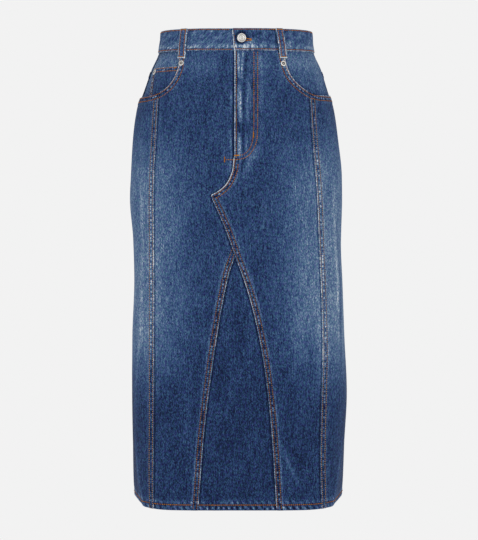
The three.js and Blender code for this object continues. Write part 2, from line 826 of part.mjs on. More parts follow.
function addZipSlider() {
  const body = { width: 8, height: 11, thickness: 2.6 };
  const shape = new THREE.Shape();
  shape.moveTo(-body.width / 2, body.height / 2);
  shape.lineTo(-body.width / 2 + 1, -body.height / 2);
  shape.lineTo(body.width / 2 - 1, -body.height / 2);
  shape.lineTo(body.width / 2, body.height / 2);
  shape.closePath();
  const geometry = new THREE.ExtrudeGeometry(shape, { depth: body.thickness, bevelEnabled: false });
  const mesh = new THREE.Mesh(geometry, nickel());
  mesh.name = 'zip_slider';
  const middle = zip.top + layerGap + body.height / 2;
  skirt.add(seat(mesh, zip.middle, middle, shieldDepth + layerGap));
}

// A domed cap from a profile of radius and height, turned to face +Z
function cap(name, profile, sides) {
  const points = profile.map((point) => new THREE.Vector2(point.r, point.h));
  const geometry = new THREE.LatheGeometry(points, sides);
  geometry.rotateX(Math.PI / 2);
  const mesh = new THREE.Mesh(geometry, nickel());
  mesh.name = name;
  return mesh;
}

function addButton() {
  const profile = [
    { r: 0, h: 0 },
    { r: 3.4, h: 0 },
    { r: 3.4, h: 0.9 },
    { r: 7, h: 1.1 },
    { r: 7.5, h: 1.7 },
    { r: 7.1, h: 2.4 },
    { r: 5.6, h: 2.7 },
    { r: 5, h: 2.45 },
    { r: 0, h: 2.6 },
  ];
  const place = { u: 9.3, z: 1.6 };
  skirt.add(seat(cap('button', profile, 28), place.u, place.z, bandOuter(place.u) + seamGap));
}

function addRivets() {
  const profile = [
    { r: 0, h: 0 },
    { r: 4.2, h: 0 },
    { r: 4.3, h: 0.5 },
    { r: 3.6, h: 1.1 },
    { r: 1.6, h: 1.3 },
    { r: 1.3, h: 0.9 },
    { r: 0, h: 0.9 },
  ];
  const rivets = [
    { name: 'rivet_pocket_right', u: -90.7, z: -38.1, base: seamLift },
    { name: 'rivet_pocket_left', u: 78.2, z: -38.6, base: seamLift },
    { name: 'rivet_coin', u: -154.8, z: -51.4, base: coinDepth },
  ];
  for (const rivet of rivets) {
    skirt.add(seat(cap(rivet.name, profile, 20), rivet.u, rivet.z, rivet.base + seamGap));
  }
}

addWaistband();
addBeltLoops();
addFrontPanels();
addGore();
addSideFronts();
addBack();
addFrontPockets();
addCoinPocket();
addBackPockets();
addFly();
addZipSlider();
addButton();
addRivets();

export default skirt;
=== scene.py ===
import math

import bpy
import numpy as np
from mathutils import Matrix, Vector


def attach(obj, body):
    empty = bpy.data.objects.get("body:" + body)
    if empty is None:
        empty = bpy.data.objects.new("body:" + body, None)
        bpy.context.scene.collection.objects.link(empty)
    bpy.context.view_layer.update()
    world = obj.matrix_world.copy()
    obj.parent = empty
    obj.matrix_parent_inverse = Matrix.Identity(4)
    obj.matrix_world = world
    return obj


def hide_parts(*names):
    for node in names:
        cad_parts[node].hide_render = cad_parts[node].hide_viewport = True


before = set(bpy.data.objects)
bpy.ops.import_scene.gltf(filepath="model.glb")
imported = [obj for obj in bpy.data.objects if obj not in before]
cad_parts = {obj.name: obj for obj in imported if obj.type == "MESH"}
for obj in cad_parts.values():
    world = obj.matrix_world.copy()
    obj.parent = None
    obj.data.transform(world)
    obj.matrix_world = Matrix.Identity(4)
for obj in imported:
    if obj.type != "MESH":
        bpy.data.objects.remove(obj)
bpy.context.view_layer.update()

# A denim midi skirt, worn form, hollow. Lengths here are millimetres and the meshes are metres.
# A place on the cloth is (u, z): u is the length round the form from the centre front, positive
# towards the wearer's left, and z is the height at the side.
mm = 0.001
cloth = 1.2
bandTop, bandBottom, panelTop, hem = 17.5, -17.5, -17.7, -772
flyBottom, cornerLevel, goreTip, goreTop, mouthLevel = -199, -265.8, -364, -367, -89


def table(columns, *rows):
    return [dict(zip(columns.split(), row)) for row in rows]


formSizes = table(
    "z right left front back",
    (17.5, 127.5, 129, 95, 92), (-14, 131, 132.2, 98, 97), (-45, 144, 145, 103, 108),
    (-80, 156.5, 156, 108, 118), (-115, 168.5, 166.3, 112, 126), (-165, 175, 173.3, 115, 131),
    (-230, 178.5, 179.7, 117, 130), (-267, 180, 180, 119, 128), (-335, 175.2, 178.5, 121, 126),
    (-405, 173.5, 181.5, 124, 126), (-505, 176.5, 185, 128, 127), (-590, 176.5, 188.5, 131, 129),
    (-675, 176, 185, 134, 131), (-745, 175, 182.5, 137, 133), (-772, 172.5, 180.5, 137, 133))
formShape = table(
    "z squareFront squareBack taper lean",
    (17.5, 2.6, 2.4, 0, 0.1), (-14, 2.6, 2.4, 0, 0.115), (-45, 2.6, 2.4, 0, 0.105),
    (-80, 2.6, 2.4, 0, 0.085), (-115, 2.6, 2.45, 0, 0.06), (-165, 2.65, 2.5, 0, 0.03),
    (-230, 2.7, 2.55, 0, 0.01), (-267, 2.75, 2.6, 0, 0), (-335, 2.8, 2.6, 0.01, 0),
    (-405, 2.9, 2.65, 0.015, 0), (-505, 3.1, 2.7, 0.02, 0), (-590, 3.4, 2.8, 0.03, 0),
    (-675, 4, 2.9, 0.06, 0), (-745, 5.2, 3.1, 0.13, 0), (-772, 6.3, 3.2, 0.17, 0))

# Soft ridges and troughs. side 0 counts u from the centre front, side 1 from the centre back.
folds = table(
    "side uHigh zHigh uLow zLow width depth",
    (0, -161, -330, -170, -510, 14, 2.2), (0, -198, -640, -162, -775, 13, 2.4),
    (0, -214, -250, -222, -560, 17, -1.8), (0, 164, -290, 200, -480, 14, 2.4),
    (0, 212, -640, 170, -775, 13, 2.6), (0, 224, -330, 228, -610, 18, -2.6),
    (1, -196, -300, -168, -470, 17, 2.3), (1, 188, -270, 176, -500, 15, 2),
    (1, -172, -610, -188, -775, 16, 2.2), (1, 160, -650, 184, -775, 14, 2.5),
    (1, -60, -300, -40, -420, 20, -1.6), (1, 56, -310, 70, -440, 18, -1.4))
# The finer creases that only show close by
creases = table(
    "side uHigh zHigh uLow zLow width depth",
    (0, -70, -60, -62, -190, 7, 0.5), (0, -38, -28, -30, -120, 6, 0.5), (0, 62, -40, 50, -150, 7, 0.5),
    (0, -150, -120, -147, -300, 6, -0.9), (0, 152, -130, 158, -330, 7, -0.9),
    (0, -184, -190, -188, -420, 8, 0.9), (0, 178, -120, 196, -300, 8, 0.9),
    (0, -100, -520, -88, -700, 10, 0.7), (0, 96, -560, 110, -720, 10, 0.8),
    (0, 30, -150, 52, -240, 8, 0.7), (0, -34, -200, -60, -262, 9, 0.6),
    (0, 14, -560, 22, -760, 12, 0.6), (0, -24, -600, -30, -776, 11, 0.6),
    (1, -110, -120, -96, -260, 10, 0.9), (1, 118, -110, 100, -280, 10, 0.9),
    (1, -36, -230, -64, -300, 8, -0.9), (1, 40, -236, 60, -296, 8, -0.8),
    (1, -90, -480, -110, -700, 12, 0.8), (1, 84, -500, 96, -730, 12, 0.8))


def ease(value, low, high):
    t = np.clip((value - low) / (high - low), 0, 1)
    return t * t * (3 - 2 * t)


def bump(value, middle, width):
    return np.exp(-(((value - middle) / width) ** 2))


# A smooth curve through the rows of a table, without overshoot between them
def curveThrough(rows, across, value):
    rows = sorted(rows, key=lambda row: row[across])
    x = np.array([row[across] for row in rows], float)
    y = np.array([row[value] for row in rows], float)
    step = np.diff(x)
    slope = np.diff(y) / step
    tangent = np.zeros(len(x))
    tangent[0], tangent[-1] = slope[0], slope[-1]
    for i in range(1, len(x) - 1):
        if slope[i - 1] * slope[i] > 0:
            nearBefore = step[i - 1] + 2 * step[i]
            nearAfter = 2 * step[i - 1] + step[i]
            total = nearBefore + nearAfter
            tangent[i] = total / (nearBefore / slope[i - 1] + nearAfter / slope[i])

    def at(place):
        v = np.clip(np.asarray(place, float), x[0], x[-1])
        i = np.clip(np.searchsorted(x, v) - 1, 0, len(x) - 2)
        t = (v - x[i]) / step[i]
        start = y[i] * (1 + 2 * t) * (1 - t) ** 2 + step[i] * tangent[i] * t * (1 - t) ** 2
        return start + y[i + 1] * t * t * (3 - 2 * t) + step[i] * tangent[i + 1] * t * t * (t - 1)

    return at


def curve(columns, *rows):
    return curveThrough(table(columns, *rows), *columns.split())


form = {}
for rows in (formSizes, formShape):
    for key in list(rows[0])[1:]:
        form[key] = curveThrough(rows, "z", key)


def ringPoint(z, turn):
    sine, cosine = np.sin(turn), np.cos(turn)
    ahead = cosine > 0
    width = np.where(sine > 0, form["left"](z), form["right"](z))
    depth = np.where(ahead, form["front"](z), form["back"](z))
    square = np.where(ahead, form["squareFront"](z), form["squareBack"](z))
    reach = (np.abs(sine / width) ** square + np.abs(cosine / depth) ** square) ** (-1 / square)
    y = -reach * cosine
    taper = form["taper"](z) * np.where(ahead, 1, 0.5)
    x = reach * sine * (1 - taper * np.abs(y) / depth)
    return np.stack([x, y, z + form["lean"](z) * y], -1)


# Every level's ring is walked once, so that any length round it gives a turn
ringSteps = 720
levels = np.arange(-776, 21, 1.0)
reachU = 570
uPlaces = np.arange(-reachU, reachU + 1, 1.0)
turns = np.linspace(-math.pi, math.pi, ringSteps + 1)
ringPoints = ringPoint(levels[:, None], turns[None, :])
arcs = np.zeros((len(levels), ringSteps + 1))
arcs[:, 1:] = np.cumsum(np.linalg.norm(np.diff(ringPoints, axis=1), axis=2), axis=1)
girths = arcs[:, -1]
fronts = arcs[:, ringSteps // 2]
sidesRight = arcs[:, ringSteps // 4] - fronts
sidesLeft = arcs[:, 3 * ringSteps // 4] - fronts
turnTable = np.zeros((len(levels), len(uPlaces)))
for row in range(len(levels)):
    walked = arcs[row] - fronts[row]
    longer = np.concatenate([walked[:-1] - girths[row], walked, walked[1:] + girths[row]])
    further = np.concatenate([turns[:-1] - 2 * math.pi, turns, turns[1:] + 2 * math.pi])
    turnTable[row] = np.interp(uPlaces, longer, further)


def atLevel(values, z):
    return np.interp(z, levels, values)


def girth(z):
    return atLevel(girths, z)


def sideRight(z):
    return atLevel(sidesRight, z)


def sideLeft(z):
    return atLevel(sidesLeft, z)


def backRight(z):
    return -atLevel(fronts, z)


def backLeft(z):
    return girth(z) - atLevel(fronts, z)


def pointOnForm(u, z):
    front, around = atLevel(fronts, z), girth(z)
    u = u - np.floor((u + front) / around) * around
    row = np.clip(z - levels[0], 0, len(levels) - 1.001)
    column = u - uPlaces[0]
    i, j = row.astype(int), column.astype(int)
    a, b = row - i, column - j
    high = turnTable[i, j] * (1 - b) + turnTable[i, j + 1] * b
    low = turnTable[i + 1, j] * (1 - b) + turnTable[i + 1, j + 1] * b
    return ringPoint(z, high * (1 - a) + low * a)


def unit(vectors):
    return vectors / np.maximum(np.linalg.norm(vectors, axis=-1, keepdims=True), 1e-9)


def frameOnForm(u, z):
    across = unit(pointOnForm(u + 1, z) - pointOnForm(u - 1, z))
    out = unit(np.cross(across, pointOnForm(u, z + 1) - pointOnForm(u, z - 1)))
    return pointOnForm(u, z), across, np.cross(out, across), out


# The sum of a table's lines at each place, soft across and fading out towards both ends
def linesAt(rows, u, z, flat=1.0, wander=0.0):
    height = np.zeros(np.shape(u))
    fromBack = np.where(u > 0, u - backLeft(z), u - backRight(z))
    for k, row in enumerate(rows):
        t = (z - row["zHigh"]) / (row["zLow"] - row["zHigh"])
        inside = (t > 0) & (t < 1)
        if row["side"]:
            inside = inside & (np.abs(u) > sideLeft(z) / 2)
        t = np.clip(t, 0, 1)
        middle = row["uHigh"] + t * (row["uLow"] - row["uHigh"]) + wander * np.sin(z / 15.0 + k)
        away = (fromBack if row["side"] else u) - middle
        fade = np.sin(math.pi * t / 2) if row["zLow"] < hem else np.sin(math.pi * t)
        height += np.where(inside, row["depth"] * fade ** flat * np.exp(-((away / row["width"]) ** 2)), 0)
    return height


def foldDepth(u, z):
    return linesAt(folds + creases, u, z)


# Smooth unevenness with no pattern to it, about -1 to 1, from a few waves with fixed turns
def uneven(u, z, size, seed):
    dice = np.random.default_rng(seed)
    total = np.zeros(np.broadcast(u, z).shape)
    for _ in range(7):
        angle, phase, stretch = dice.uniform(0, math.pi), dice.uniform(0, 6.3), dice.uniform(0.6, 1.7)
        total += np.sin((u * math.cos(angle) + z * math.sin(angle)) * 6.283 * stretch / size + phase)
    return total / 3.2


# Seam lines, u at a height read down the skirt
flyEdge = -2.7
crotch = curve(
    "z u", (flyBottom, -2.7), (-207.5, -3.9), (-222, -5.2), (-230, -7.4), (-239.5, -11.1),
    (-249, -16.9), (-256, -24.1), (-262, -32.6), (cornerLevel, -41))
leftInner = curve(
    "z u", (cornerLevel, -41), (-326, -14.9), (goreTip, -1.3), (-415, 17), (-472, 32.5),
    (-548, 46.6), (-647, 57.5), (hem, 65.3))
rightInner = curve(
    "z u", (goreTip, -1.3), (-393, -11), (-448, -22.7), (-548, -38.5), (-647, -50.8),
    (hem, -60.5))
rightSide = curve(
    "z u", (-17.8, -130.5), (mouthLevel, -131.6), (-167, -133.9), (-232, -137.4), (-354, -138.2),
    (-484, -136.9), (-662, -134.9), (hem, -135.1))
leftSide = curve(
    "z u", (-17.8, 124.5), (mouthLevel, 125.5), (-149, 127), (-239, 133.9), (-304, 138.2),
    (-506, 144.5), (-600, 140.6), (-698, 137.8), (hem, 141))
rightMouth = curve(
    "z u", (-17.8, -95.6), (-42, -95.8), (-53.3, -99.1), (-66.6, -105.2), (-76.3, -112.5),
    (-84.1, -122.1), (mouthLevel, -131.6))
leftMouth = curve(
    "z u", (-17.8, 78.8), (-38, 83), (-53.9, 88.2), (-67.2, 96.6), (-77.6, 107.3),
    (-85.4, 118.4), (mouthLevel, 125.5))
rightFloor = curve(
    "u z", (-131.6, mouthLevel), (-148.7, -93.4), (-164, -94.5), (-226, -95))
leftFloor = curve(
    "u z", (125.5, mouthLevel), (135, -92), (149, -93.4), (226, -91))
flyCurve = curve(
    "z u", (-17.8, 35.7), (-139, 35.3), (-169, 34.4), (-179, 32.6), (-191, 26.9), (-202, 17.7),
    (-206, 6))


def frontLeftInner(z):
    lower = np.where(z >= cornerLevel, crotch(z), leftInner(z))
    return np.where(z >= flyBottom, flyEdge, lower)


def frontRightInner(z):
    return np.where(z >= goreTip, frontLeftInner(z), rightInner(z))


yokeSide, yokeCentre, yokeLevel = -48, -90, -70


# The yoke seam falls evenly from each side seam to the centre back; z is the row that u is read on
def yokeSeam(u, z=yokeLevel):
    side = np.where(u > 0, sideLeft(z), -sideRight(z))
    back = np.where(u > 0, backLeft(z), -backRight(z))
    return yokeCentre + (back - np.abs(u)) / (back - side) * (yokeSide - yokeCentre)


def steady(value):
    return lambda place: value + 0 * place


# A line on the cloth as points, read down the skirt or along it
def downLine(edge, high, low, step=5.0):
    z = np.linspace(high, low, max(2, int(abs(high - low) / step) + 1))
    return np.stack([edge(z) + 0 * z, z], -1)


def alongLine(floor, start, end, step=5.0):
    u = np.linspace(start, end, max(2, int(abs(end - start) / step) + 1))
    return np.stack([u, floor(u) + 0 * u], -1)


def distanceTo(line, u, z):
    best = np.full(np.shape(u), 1e9)
    for a, b in zip(line[:-1], line[1:]):
        d = b - a
        t = np.clip(((u - a[0]) * d[0] + (z - a[1]) * d[1]) / (d @ d), 0, 1)
        best = np.minimum(best, np.hypot(u - a[0] - t * d[0], z - a[1] - t * d[1]))
    return best


lines = {
    "flyAndCrotch": np.concatenate([downLine(frontLeftInner, panelTop, cornerLevel, 3),
                                    downLine(leftInner, cornerLevel - 1, hem)]),
    "rightGore": downLine(rightInner, goreTip, hem),
    "rightMouth": np.concatenate([downLine(rightMouth, -17, mouthLevel, 2),
                                  alongLine(rightFloor, -132.5, -226)]),
    "leftMouth": np.concatenate([downLine(leftMouth, -17, mouthLevel, 2),
                                 alongLine(leftFloor, 126.5, 226)]),
    "rightSide": downLine(rightSide, mouthLevel, hem),
    "leftSide": downLine(leftSide, mouthLevel, hem),
}

# How a sewn edge sits: the cloth on top stands proud beside its folded edge and is drawn in under
# each row of stitches, and the cloth below passes under it. Side seams and pocket mouths have their
# two rows further apart than the others. Dark is the painted shade in the groove of each row of
# stitches, pale how much the cloth fades beyond the second row, and edge how much it fades on the fold.
lap = {"stand": 0.95, "beyond": 1.3, "ease": 3.4, "rows": (2.5, 8.0), "wideRows": (2.0, 8.7),
       "flyRow": 3.4, "groove": 0.34, "under": 9.0, "sink": 0.6, "thickest": 2.2, "thinnest": 0.9,
       "corner": 3, "edge": 0.7, "wideEdge": 0.44, "dark": 0.32, "pucker": 0.48, "pale": 0.34}
near, far = lap["rows"]
hemSize = {"turn": 12.0, "thick": 3.0, "row": 9.0, "ropePitch": 9.8, "rope": 0.6, "dark": 0.24}


def puckers(along, pitch, seed):
    wander = 1.9 * np.sin(along / 31.0 + seed) + 1.3 * np.sin(along / 13.7 + 2.1 * seed)
    strength = 0.65 + 0.35 * np.sin(along / 47.0 + 1.7 * seed)
    return np.sin(6.283 * (along + wander) / pitch) * strength


def lapStand(d, rows=lap["rows"]):
    band = rows[-1] + lap["beyond"]
    height = lap["stand"] * (1 - ease(d, band, band + lap["ease"])) - 0.6 * bump(d, 0, 0.5)
    return height - lap["groove"] * sum(bump(d, row, 0.85) for row in rows)


# Wear is a complex number: its real part is how faded the cloth is, less the painted shade in the
# grooves of its rows, and its imaginary part how strongly the puckers between two rows show, which
# the denim itself draws
def lapWearAndShade(d, along, seed=1.0, rows=lap["rows"], pale=lap["pale"], edge=lap["edge"]):
    wander = 0.8 + 0.2 * np.sin(along / 23.0 + seed) * np.sin(along / 57.0 + 2 * seed)
    middle = bump(d, (rows[0] + rows[1]) / 2, (rows[1] - rows[0]) / 3.4)
    faded = edge * bump(d, 0.3, 0.95) + pale * bump(d, rows[1] + 2.6, 1.6)
    # Painted shade in the groove of each row of stitches
    dark = lap["dark"] * sum(bump(d, row, 1.0) for row in rows)
    return faded * wander - dark + (0.06 + 1j * lap["pucker"]) * middle


def mouthWearAndShade(d, along, seed):
    return lapWearAndShade(d, along, seed, lap["wideRows"], 0.16, lap["wideEdge"]) + 0.3 * bump(d, 0, 1.1)


def underSink(d):
    return -lap["sink"] * (1 - ease(d, -0.4, 2.2))


# Painted shadow on the cloth below, beside the edge that laps over it, and a faint paler line further out
def shadowBesideLap(d):
    return -0.36 * bump(d, 0.3, 2.2) + 0.06 * bump(d, 5.2, 2.0)


def plainSeam(d):
    return -0.75 * (1 - ease(d, 0, 2.4))


def lapInside(d, rows=lap["rows"]):
    band = rows[-1] + lap["beyond"]
    return -0.25 - (cloth - 0.25) * ease(d, band + 0.5, band + lap["ease"] + 1.5)


# The back of a lapped edge stays between the thickest and the thinnest that its cloth may be
def backOfLap(inside, outer):
    return np.minimum(np.maximum(inside, outer - lap["thickest"]), outer - lap["thinnest"])


# Close to an edge its own lap sets the height, where two laps meet
def edgeFirst(height, d, atEdge):
    return np.where(d < lap["corner"], np.minimum(height, atEdge), height)


def ropeAt(u, z):
    slant = u + 0.55 * (z - hem)
    return puckers(slant, hemSize["ropePitch"], 0.6)


def hemStand(u, z):
    up = z - hem
    turned = 0.3 * (1 - ease(up, hemSize["turn"], hemSize["turn"] + 1.5))
    row = -0.35 * bump(up, hemSize["row"], 0.9)
    edge = -1.1 * bump(up, 0, 1.0)
    rope = hemSize["rope"] * ropeAt(u, z) * (bump(up, 4.3, 3.4) + 0.5 * bump(up, 11.5, 3.6))
    return turned + row + edge + rope


def hemWearAndShade(u, z):
    up = z - hem
    rope = ropeAt(u, z)
    below = (0.6 * rope + 0.12) * bump(up, 4.2, 3.4)
    above = (0.26 + 0.5 * rope) * bump(up, 13.0, 3.0) * (0.7 + 0.4 * uneven(u, z * 0 + 1, 55, 31))
    # The hem's row is darkened with painted shade in its groove
    return below + above - hemSize["dark"] * bump(up, hemSize["row"], 1.2) + 0.06 * bump(up, 0.2, 1.1)


def hemInside(u, z, plain):
    turned = 1 - ease(z - hem, hemSize["turn"] - 1, hemSize["turn"] + 1)
    return plain - (hemSize["thick"] - cloth) * turned


# Light and dark stripes as heights of wear: ripples of the fly's flap and the crotch that washing left,
# which also stand up, then the long streaks of the panels, which are painted highlights and painted
# shade along their folds
ripples = table(
    "side uHigh zHigh uLow zLow width depth",
    (0, 4.9, -18, 4.6, -66, 2.5, 0.42), (0, 12.0, -18, 9.6, -70, 1.9, 0.48),
    (0, 8.4, -18, 7.6, -64, 1.2, -0.2), (0, 16.4, -20, 14.0, -62, 2.4, -0.26),
    (0, 4.9, -72, 5.3, -144, 3.4, 0.42), (0, 8.7, -76, 8.5, -141, 1.7, 0.34),
    (0, 19.4, -66, 18.6, -142, 2.2, 0.34), (0, 12.6, -70, 11.6, -166, 2.0, -0.2),
    (0, 23.2, -56, 22.8, -124, 1.7, 0.22), (0, 4.8, -160, 5.4, -203, 3.6, 0.44),
    (0, 8.6, -164, 8.2, -201, 1.6, 0.22), (0, 12.2, -144, 12.4, -204, 1.8, -0.2),
    (0, 17.4, -160, 15.6, -203, 2.0, 0.3), (0, 4.0, -144, 5.4, -160, 2.6, -0.2),
    (0, -8.2, -84, -8.0, -128, 1.9, 0.24), (0, -8.2, -152, -8.0, -200, 2.1, 0.32),
    (0, -4.8, -146, -4.9, -206, 1.1, -0.22), (0, 40.0, -19, 41.0, -64, 2.6, 0.2),
    (0, 41.0, -62, 41.6, -128, 4.2, 0.18), (0, 40.0, -134, 42.0, -176, 4.0, 0.12),
    (0, 31.0, -184, 13.0, -240, 6.0, 0.2), (0, 38.0, -180, 30.0, -206, 4.5, 0.16),
    (0, 12.0, -206, 7.0, -232, 2.6, -0.16), (0, -8.0, -200, -9.6, -232, 1.8, 0.26),
    (0, -3.6, -200, -3.9, -224, 1.4, -0.14))
foldHighlightsAndShade = table(
    "side uHigh zHigh uLow zLow width depth",
    (0, -164.5, -170, -165, -520, 5, 0.13), (0, -165, -470, -190, -600, 4, 0.2),
    (0, -200, -620, -162, -776, 3, 0.2), (0, -204, -520, -215, -776, 12, -0.1),
    (0, 172, -220, 188, -520, 5, 0.2), (0, 195, -350, 196, -560, 6, -0.2),
    (0, 201, -460, 197, -600, 3, 0.16), (0, 207, -630, 168, -776, 3, 0.22),
    (0, 68, -660, 106, -742, 3.2, 0.2), (0, 78, -664, 124, -712, 6, -0.12),
    (0, -77, -590, -77, -670, 3, 0.07), (0, -126, -210, -126, -520, 10, 0.05),
    (0, 114, -270, 106, -560, 14, 0.08), (0, -40, -500, -44, -700, 2, 0.05),
    (0, 24, -420, 18, -640, 3, 0.06), (1, -196, -280, -168, -490, 6, 0.16),
    (1, 188, -250, 176, -520, 6, 0.15), (1, -172, -600, -188, -776, 4, 0.18),
    (1, 160, -640, 184, -776, 4, 0.18), (1, -34, -220, -66, -310, 5, 0.1),
    (1, 40, -226, 62, -304, 5, 0.1), (1, -84, -480, -108, -700, 7, 0.06),
    (1, 80, -500, 96, -730, 8, 0.06))


def rippleAt(u, z):
    return linesAt(ripples, u, z, 0.3, 0.5)


# How washed the cloth is over its plain indigo: thighs pale, the sides pale partly from fading and
# partly with painted sheen, the hem and the middle dark; the panels' folds carry painted highlights and
# shade
wash = {"thigh": 0.25, "sides": 0.05, "knee": 0.08, "left": 0.03, "low": 0.08, "top": 0.15,
        "seat": 0.2, "cloud": 0.03}


def washAndPaintedLightAt(u, z):
    across = np.abs(u) + np.where(u > 0, 5, 0)
    back = np.abs(u) > np.where(u > 0, sideLeft(z), -sideRight(z))
    reach = ease(-z, 115, 255) * (1 - ease(-z, 470, 620))
    inner = wash["thigh"] * ease(across, 45, 125) * reach
    # The sides' paleness is partly fade and partly painted sheen
    sides = (wash["sides"] + wash["left"] * (u > 0)) * ease(across, 118, 152)
    sides = sides * ease(-z, 80, 200) * (1 - 0.6 * ease(-z, 480, 640))
    sides = sides + wash["knee"] * bump(z, -495, 85) * ease(across, 118, 152)
    fromBack = np.where(u > 0, backLeft(z) - u, u - backRight(z))
    seat = bump(fromBack, 120, 75) * (bump(z, -190, 80) + 0.8 * bump(z, -420, 130))
    rear = wash["seat"] * seat + (inner + sides) * ease(fromBack, 190, 252)
    top = wash["top"] * bump(z, -38, 22) * (1 - bump(u, -16, 16))
    cloud = wash["cloud"] * uneven(u, z * 0.5, 60, 11)
    low = wash["low"] * ease(-z, 380, 620)
    # The streaks along the folds are painted highlights and painted shade
    return np.where(back, rear, inner + sides) + top + cloud - low + linesAt(foldHighlightsAndShade, u, z, 0.7, 0.6)


print("form and seams ready")


def linearFromHex(text):
    parts = [int(text[i:i + 2], 16) / 255 for i in (1, 3, 5)]
    return tuple(p / 12.92 if p <= 0.04045 else ((p + 0.055) / 1.055) ** 2.4 for p in parts) + (1.0,)


def addNode(tree, kind, inputs=None, **settings):
    node = tree.nodes.new(kind)
    for key, value in settings.items():
        setattr(node, key, value)
    for key, value in (inputs or {}).items():
        if isinstance(value, bpy.types.NodeSocket):
            tree.links.new(value, node.inputs[key])
        else:
            node.inputs[key].default_value = value
    return node


def newMaterial(name):
    material = bpy.data.materials.new(name)
    material.use_nodes = True
    material.node_tree.nodes.clear()
    return material, material.node_tree


def finishMaterial(material, inputs, kind="ShaderNodeBsdfPrincipled"):
    tree = material.node_tree
    shader = addNode(tree, kind, inputs)
    output = addNode(tree, "ShaderNodeOutputMaterial")
    tree.links.new(shader.outputs[0], output.inputs["Surface"])
    return material


def mathNode(tree, operation, *values):
    return addNode(tree, "ShaderNodeMath", dict(enumerate(values)), operation=operation).outputs[0]


def sumOf(tree, *parts):
    result = parts[0]
    for part in parts[1:]:
        result = mathNode(tree, "ADD", result, part)
    return result


def scaled(tree, value, factor, base=0.5):
    return mathNode(tree, "MULTIPLY", mathNode(tree, "SUBTRACT", value, base), factor)


def ranged(tree, value, lowFrom, highFrom, lowTo, highTo):
    return addNode(tree, "ShaderNodeMapRange", {
        "Value": value, "From Min": lowFrom, "From Max": highFrom, "To Min": lowTo,
        "To Max": highTo}).outputs[0]


def objectPlace(tree):
    return addNode(tree, "ShaderNodeTexCoord").outputs["Object"]


def noiseAt(tree, place, scale, detail, roughness=0.5, dimensions="3D"):
    return addNode(tree, "ShaderNodeTexNoise", {
        "Vector": place, "Scale": scale, "Detail": detail, "Roughness": roughness},
        noise_dimensions=dimensions).outputs["Fac"]


def colored(tree, value, stops):
    ramp = addNode(tree, "ShaderNodeValToRGB", {"Fac": value})
    elements = ramp.color_ramp.elements
    for i, (place, color) in enumerate(stops):
        element = elements[i] if i < 2 else elements.new(place)
        element.position = place
        element.color = linearFromHex(color)
    return ramp.outputs["Color"]


# Ring-spun cotton twill, indigo warp over an undyed weft, stone washed. The warp keeps its dye in
# uneven upright streaks, rubbing lifts it off the folds, and the diagonal of the twill just shows.
# The wash and wear that each sheet gives it also carry painted highlights and painted shade.
# Sizes in mm: a real float is about 0.5 wide and a real twill line 0.7. They are drawn coarser, at
# 1.0 and 1.1, so that they show at this distance.
denimLook = {
    "floatWide": 1.0, "floatLong": 2.2, "floatStep": 0.33, "floatMix": 0.42, "crownMean": 0.03,
    "crownWide": (0.3, 0.2), "crownLong": (0.16, 0.1), "crownBump": 12.0, "threadBump": 0.6,
    "slubWide": 0.9, "slubLong": 30.0, "slubMix": 0.7, "twillWide": 1.1, "twillLong": 6.0,
    "twillMix": 0.3, "grain": 2.2, "grainMix": 0.1, "cloud": 14.0, "cloudMix": 0.1,
    "puckerPitch": 5.8, "puckerStray": 0.55, "puckerSpot": (0.12, 0.6, 1.0, -0.8),
    "broken": (0.35, 0.65, 0.78, 1.22), "tint": 0.03, "base": 0.255, "bump": 0.45, "relief": 0.0004,
    "roughness": 0.92, "sheen": 0.03, "specular": 0.08,
    "stops": [(0.0, "#131d39"), (0.15, "#20335a"), (0.3, "#2c4671"), (0.45, "#3f5a83"),
              (0.6, "#547094"), (0.75, "#728ba8"), (0.88, "#9fb3c6"), (1.0, "#d5dce2")]}


